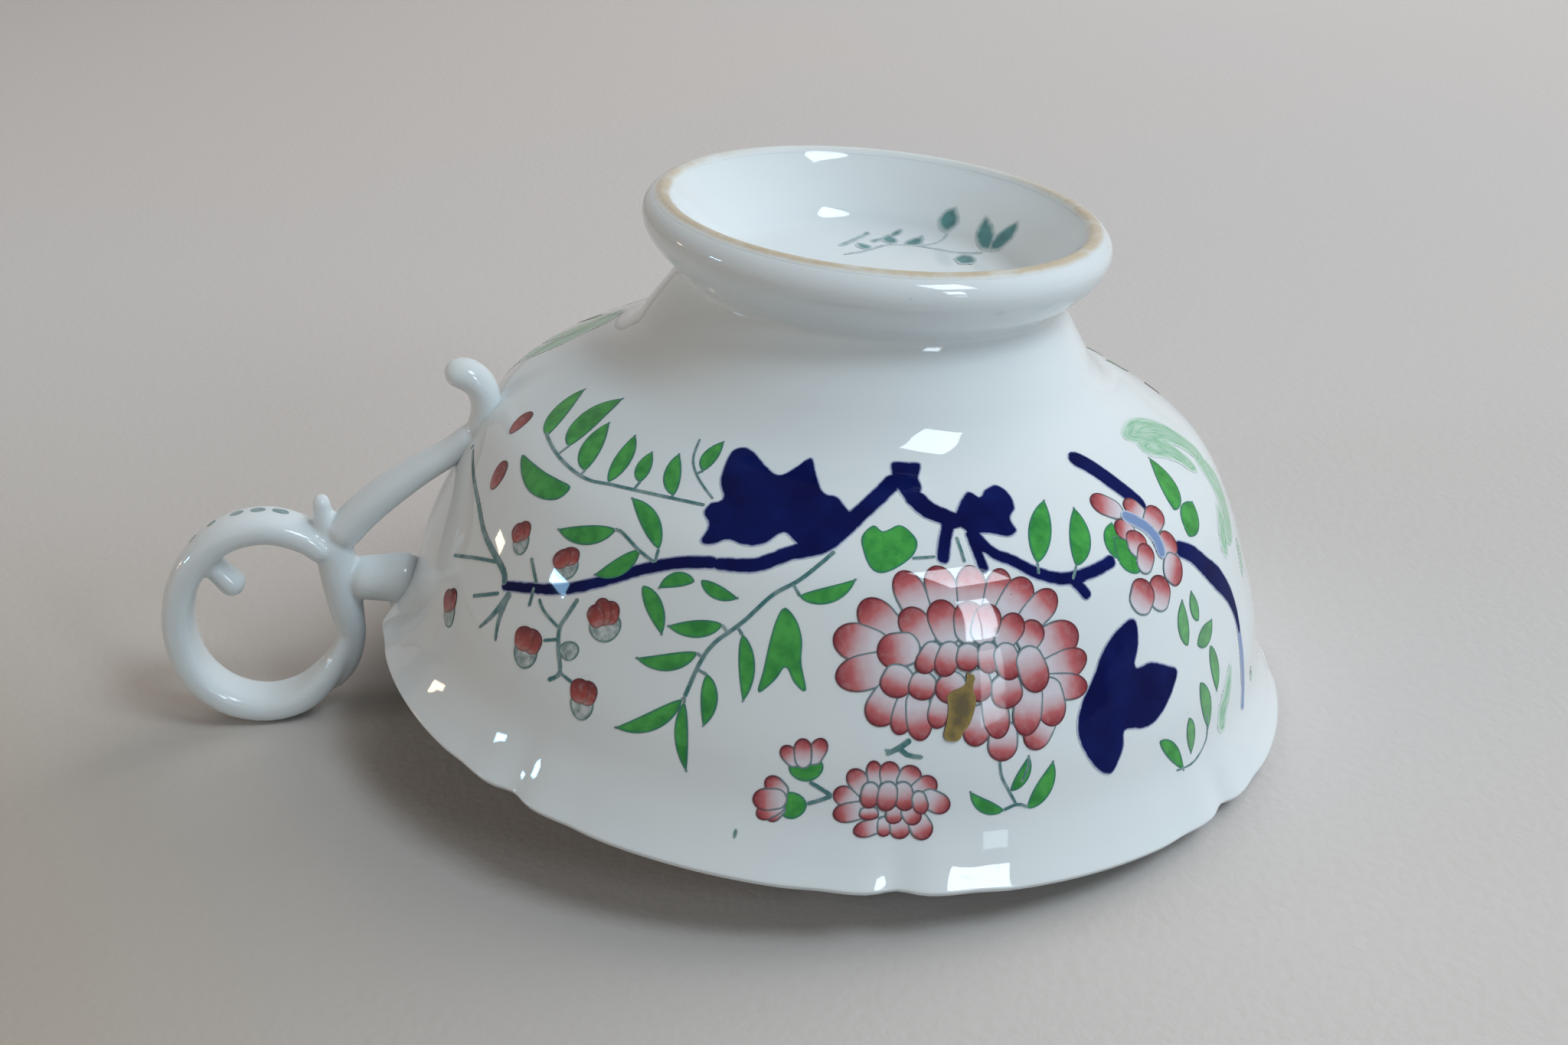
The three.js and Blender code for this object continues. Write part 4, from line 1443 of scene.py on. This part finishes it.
class CUP_OT_leaves(bpy.types.Operator):
    """Washes in the green leaves and the broad pale strokes beside them"""

    bl_idname = "cup.leaves"
    bl_label = "Green leaves"

    def execute(self, context):
        pale = on_wall(together=True)
        for number, (width, route) in enumerate(PALE_STROKES):
            pale.brush(route, width, PALE_LIFT + STROKE_RISE * number)
        dress(pale.piece("pale_strokes"), pale_wash(), "green_enamel")
        green, side, tips = on_wall(), on_wall(), on_wall(together=True)
        for number, leaf in enumerate(LEAVES + SIDE_LEAVES):
            leaves = green if number < len(LEAVES) else side
            line = leaves.blade(*leaf, leaf_form, GREEN_LIFT + STROKE_RISE * (number % 3))
            beyond = line[-1] + TIP_REACH * (line[-1] - line[-6])
            tips.brush([line[-3], line[-1], beyond], TIP_WIDTHS, STEM_LIFT)
            stalk, gap = nearest(STEMS, line[0], green.scale(leaf[1]))
            if STALK_LEAST < gap < STALK_REACH:
                tips.brush([stalk, line[1]], STALK_WIDTHS, STEM_LIFT)
        for outline in (HEART_LEAF, HALF_MOON_LEAF, DOUBLE_LEAF):
            green.patch(outline, GREEN_LIFT)
        for cup in GREEN_CUPS:
            green.blade(*cup, 0, oval_form, GREEN_LIFT)
        full, thin = green_enamel("green_enamel", 1.0), green_enamel("thin_green_enamel", 0.88)
        dress(green.piece("green_leaves"), full, "green_enamel")
        dress(side.piece("side_leaves"), thin, "green_enamel")
        printed = teal_print("leaf_tip_print", strength=0.9, least=0.8)
        dress(tips.piece("leaf_tips"), printed, "teal_print")
        return {"FINISHED"}


class CUP_OT_stems(bpy.types.Operator):
    """Prints the teal stems and twigs"""

    bl_idname = "cup.stems"
    bl_label = "Printed stems"

    def execute(self, context):
        stems = on_wall(together=True)
        for number, (width, route) in enumerate(STEMS):
            stems.brush(route, width, STEM_LIFT + STROKE_RISE * (1 + number % 4))
        for turn, up, size in DOTS:
            stems.brush([(turn - DOT_HALF, up), (turn + DOT_HALF, up)], size, STEM_LIFT)
        dress(stems.piece("printed_stems"), teal_print("stem_print", strength=0.97), "teal_print")
        return {"FINISHED"}


class CUP_OT_flowers(bpy.types.Operator):
    """Paints the peony, the aster, the side flower and the small ones, petal by petal"""

    bl_idname = "cup.flowers"
    bl_label = "Flowers"

    def execute(self, context):
        enamel = petals()
        for name, rows, reach in FLOWERS:
            flower = on_wall()
            for layer, row in enumerate(rows):
                hidden = reach if layer < OUTER_ROWS else min(reach, INNER_REACH)
                for number, petal in enumerate(row):
                    lift = PETAL_LIFT + ROW_RISE * layer + PETAL_RISE * number
                    flower.blade(*petal, 0, petal_form, lift, hidden)
            dress(flower.piece(name), enamel, "red_enamel")
        band = on_wall()
        for (width, route), lift in ((FLOWER_BAND, BAND_LIFT), (BLUE_TRAIL, PALE_LIFT)):
            band.brush(route, width, lift)
        dress(band.piece("flower_band"), pale_blue(), "cobalt_blue")
        drop = Paint(Wall())
        drop.patch(GILT_SMEAR, DROP_LIFT)
        dress(drop.piece("gold_drop"), smeared_gold(), "worn_gilding")
        return {"FINISHED"}


class CUP_OT_buds(bpy.types.Operator):
    """Paints the closed red buds in their printed cups"""

    bl_idname = "cup.buds"
    bl_label = "Buds"

    def execute(self, context):
        cups, caps = on_wall(), on_wall()
        lift = STEM_LIFT + SHAPE_RISE
        cups.blade(*BARE_CUP, 0, oval_form, lift)
        for *places, width, lobes in BUDS:
            foot, tip = np.array(places[:2]), np.array(places[2:])
            axis = tip - foot
            cups.blade(*foot, *(foot + CUP_SHARE * axis), CUP_WIDTH * width, 0, oval_form, lift)
            scale = caps.scale(foot[1])
            aside = left_of(unit(axis * scale), scale)
            for lobe in range(lobes):
                share = (lobe - (lobes - 1) / 2) / lobes
                off = share * width * aside
                start = foot + LOBE_START * axis + LOBE_ROOT_SPREAD * off
                end = tip + LOBE_TIP_SPREAD * off - LOBE_DROP * abs(share) * axis
                lobe_lift = PETAL_LIFT + LOBE_RISE * lobe
                caps.blade(*start, *end, LOBE_WIDTH * width / lobes, 0, petal_form, lobe_lift)
        for bud in FAR_BUDS:
            caps.blade(*bud, 0, oval_form, PETAL_LIFT)
        dress(cups.piece("bud_cups"), bud_cup(), "teal_print")
        dress(caps.piece("bud_caps"), bud_red(), "red_enamel")
        return {"FINISHED"}


class CUP_OT_sprig(bpy.types.Operator):
    """Prints a small leafy sprig in the recess of the foot"""

    bl_idname = "cup.sprig"
    bl_label = "Sprig in the foot"

    def execute(self, context):
        sprig = Paint(Wall(), together=True)
        for width, route in SPRIG_STEMS:
            sprig.brush(route, width, COBALT_LIFT)
        for leaf in SPRIG_LEAVES:
            sprig.blade(*leaf, leaf_form, GREEN_LIFT)
        dress(sprig.piece("foot_sprig"), sprig_teal(), "teal_print")
        return {"FINISHED"}


def table_matrix():
    """The table's place: tilted as the cup leans on its handle, and touching its lowest points."""
    tilt = Matrix.Rotation(math.radians(TABLE_TILT), 4, "X")
    normal = (tilt @ Vector((0, 0, 1))).normalized()
    lowest = min(normal.dot(v.co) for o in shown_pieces() if o.type == "MESH" for v in o.data.vertices)
    return Matrix.Translation(normal * (lowest - TABLE_GAP)) @ tilt


def lay_table():
    """The tilted table with its cloth, which isn't part of the cup."""
    place = table_matrix()
    half = TABLE_SIZE / 2
    corners = [(-half, -half, 0), (half, -half, 0), (half, half, 0), (-half, half, 0)]
    table = mesh_piece("table", corners, [(0, 1, 2, 3)])
    table.matrix_world = place
    table.data.materials.append(cloth())
    table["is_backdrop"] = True


def aim(thing, place, target, roll=0.0):
    """Turns a camera or lamp towards a target, rolled about its own line of sight."""
    forward = (Vector(target) - Vector(place)).normalized()
    turn = forward.to_track_quat("-Z", "Y").to_matrix().to_4x4()
    level = Matrix.Translation(place) @ turn
    thing.matrix_world = level @ Matrix.Rotation(math.radians(roll), 4, "Z")


def hang_lamp(name, polar, elevation, distance, size, power, colour):
    """A soft rectangular lamp in the direction polar, elevation from the cup."""
    light = bpy.data.lights.new(name, "AREA")
    light.shape = "RECTANGLE"
    light.size, light.size_y = size
    light.energy = power
    light.color = colour
    made = placed(name, light)
    p, e = math.radians(polar), math.radians(elevation)
    place = distance * Vector((math.cos(p) * math.cos(e), math.sin(p) * math.cos(e), math.sin(e)))
    aim(made, place, LAMP_AIM)
    made.visible_camera = False
    made.visible_glossy = max(size) < WIDEST_MIRRORED


def set_world(scene):
    """A dim warm room lights the cup, and the camera and the glaze see a pale wall instead."""
    scene.world = bpy.data.worlds.new("soft_room")
    scene.world.use_nodes = True
    nodes, links = scene.world.node_tree.nodes, scene.world.node_tree.links
    room, wall = nodes["Background"], nodes.new("ShaderNodeBackground")
    room.inputs["Color"].default_value = ROOM_COLOUR
    wall.inputs["Color"].default_value = WALL_COLOUR
    ray = nodes.new("ShaderNodeLightPath").outputs
    mirrored, shown = nodes.new("ShaderNodeMath"), nodes.new("ShaderNodeMath")
    seen = nodes.new("ShaderNodeMixShader")
    for source, target in (
        (ray["Is Glossy Ray"], mirrored.inputs[0]),
        (ray["Is Transmission Ray"], mirrored.inputs[1]),
        (ray["Is Camera Ray"], shown.inputs[0]),
        (mirrored.outputs[0], shown.inputs[1]),
        (shown.outputs[0], seen.inputs[0]),
        (room.outputs[0], seen.inputs[1]),
        (wall.outputs[0], seen.inputs[2]),
        (seen.outputs[0], nodes["World Output"].inputs["Surface"]),
    ):
        links.new(source, target)


class CUP_OT_stage(bpy.types.Operator):
    """Lays the pale cloth under the cup and sets the window light, the world and the camera"""

    bl_idname = "cup.stage"
    bl_label = "Table, light and camera"

    def execute(self, context):
        scene = context.scene
        lay_table()
        for lamp in LAMPS:
            hang_lamp(*lamp)
        set_world(scene)
        camera = placed("camera", bpy.data.cameras.new("camera"))
        camera.data.lens = CAMERA_LENS
        camera.data.clip_start = CAMERA_NEAR
        aim(camera, CAMERA_PLACE, CAMERA_AIM, CAMERA_ROLL)
        scene.camera = camera
        scene.view_settings.view_transform = "Standard"
        return {"FINISHED"}


STEPS = (
    CUP_OT_bowl, CUP_OT_handle, CUP_OT_gilding, CUP_OT_branches, CUP_OT_leaves, CUP_OT_stems,
    CUP_OT_flowers, CUP_OT_buds, CUP_OT_sprig, CUP_OT_stage,
)


class CUP_PT_sidebar(bpy.types.Panel):
    """Lists the steps that build the cup, with the sizes and colours that they use"""

    bl_idname = "CUP_PT_sidebar"
    bl_label = "Porcelain cup"
    bl_space_type = "VIEW_3D"
    bl_region_type = "UI"
    bl_category = "Cup"

    def draw(self, context):
        for step in STEPS:
            self.layout.operator(step.bl_idname)
        for group in (shape(), colours()):
            for name in type(group).__annotations__:
                self.layout.prop(group, name)


CLASSES = (CupShape, CupColours, *STEPS, CUP_PT_sidebar)


def register():
    for kind in CLASSES:
        bpy.utils.register_class(kind)
    bpy.types.Scene.cup_shape = PointerProperty(type=CupShape)
    bpy.types.Scene.cup_colours = PointerProperty(type=CupColours)


def unregister():
    del bpy.types.Scene.cup_colours
    del bpy.types.Scene.cup_shape
    for kind in reversed(CLASSES):
        bpy.utils.unregister_class(kind)


def main():
    register()
    for step in STEPS:
        getattr(bpy.ops.cup, step.bl_idname.removeprefix("cup."))()


if __name__ == "__main__":
    main()
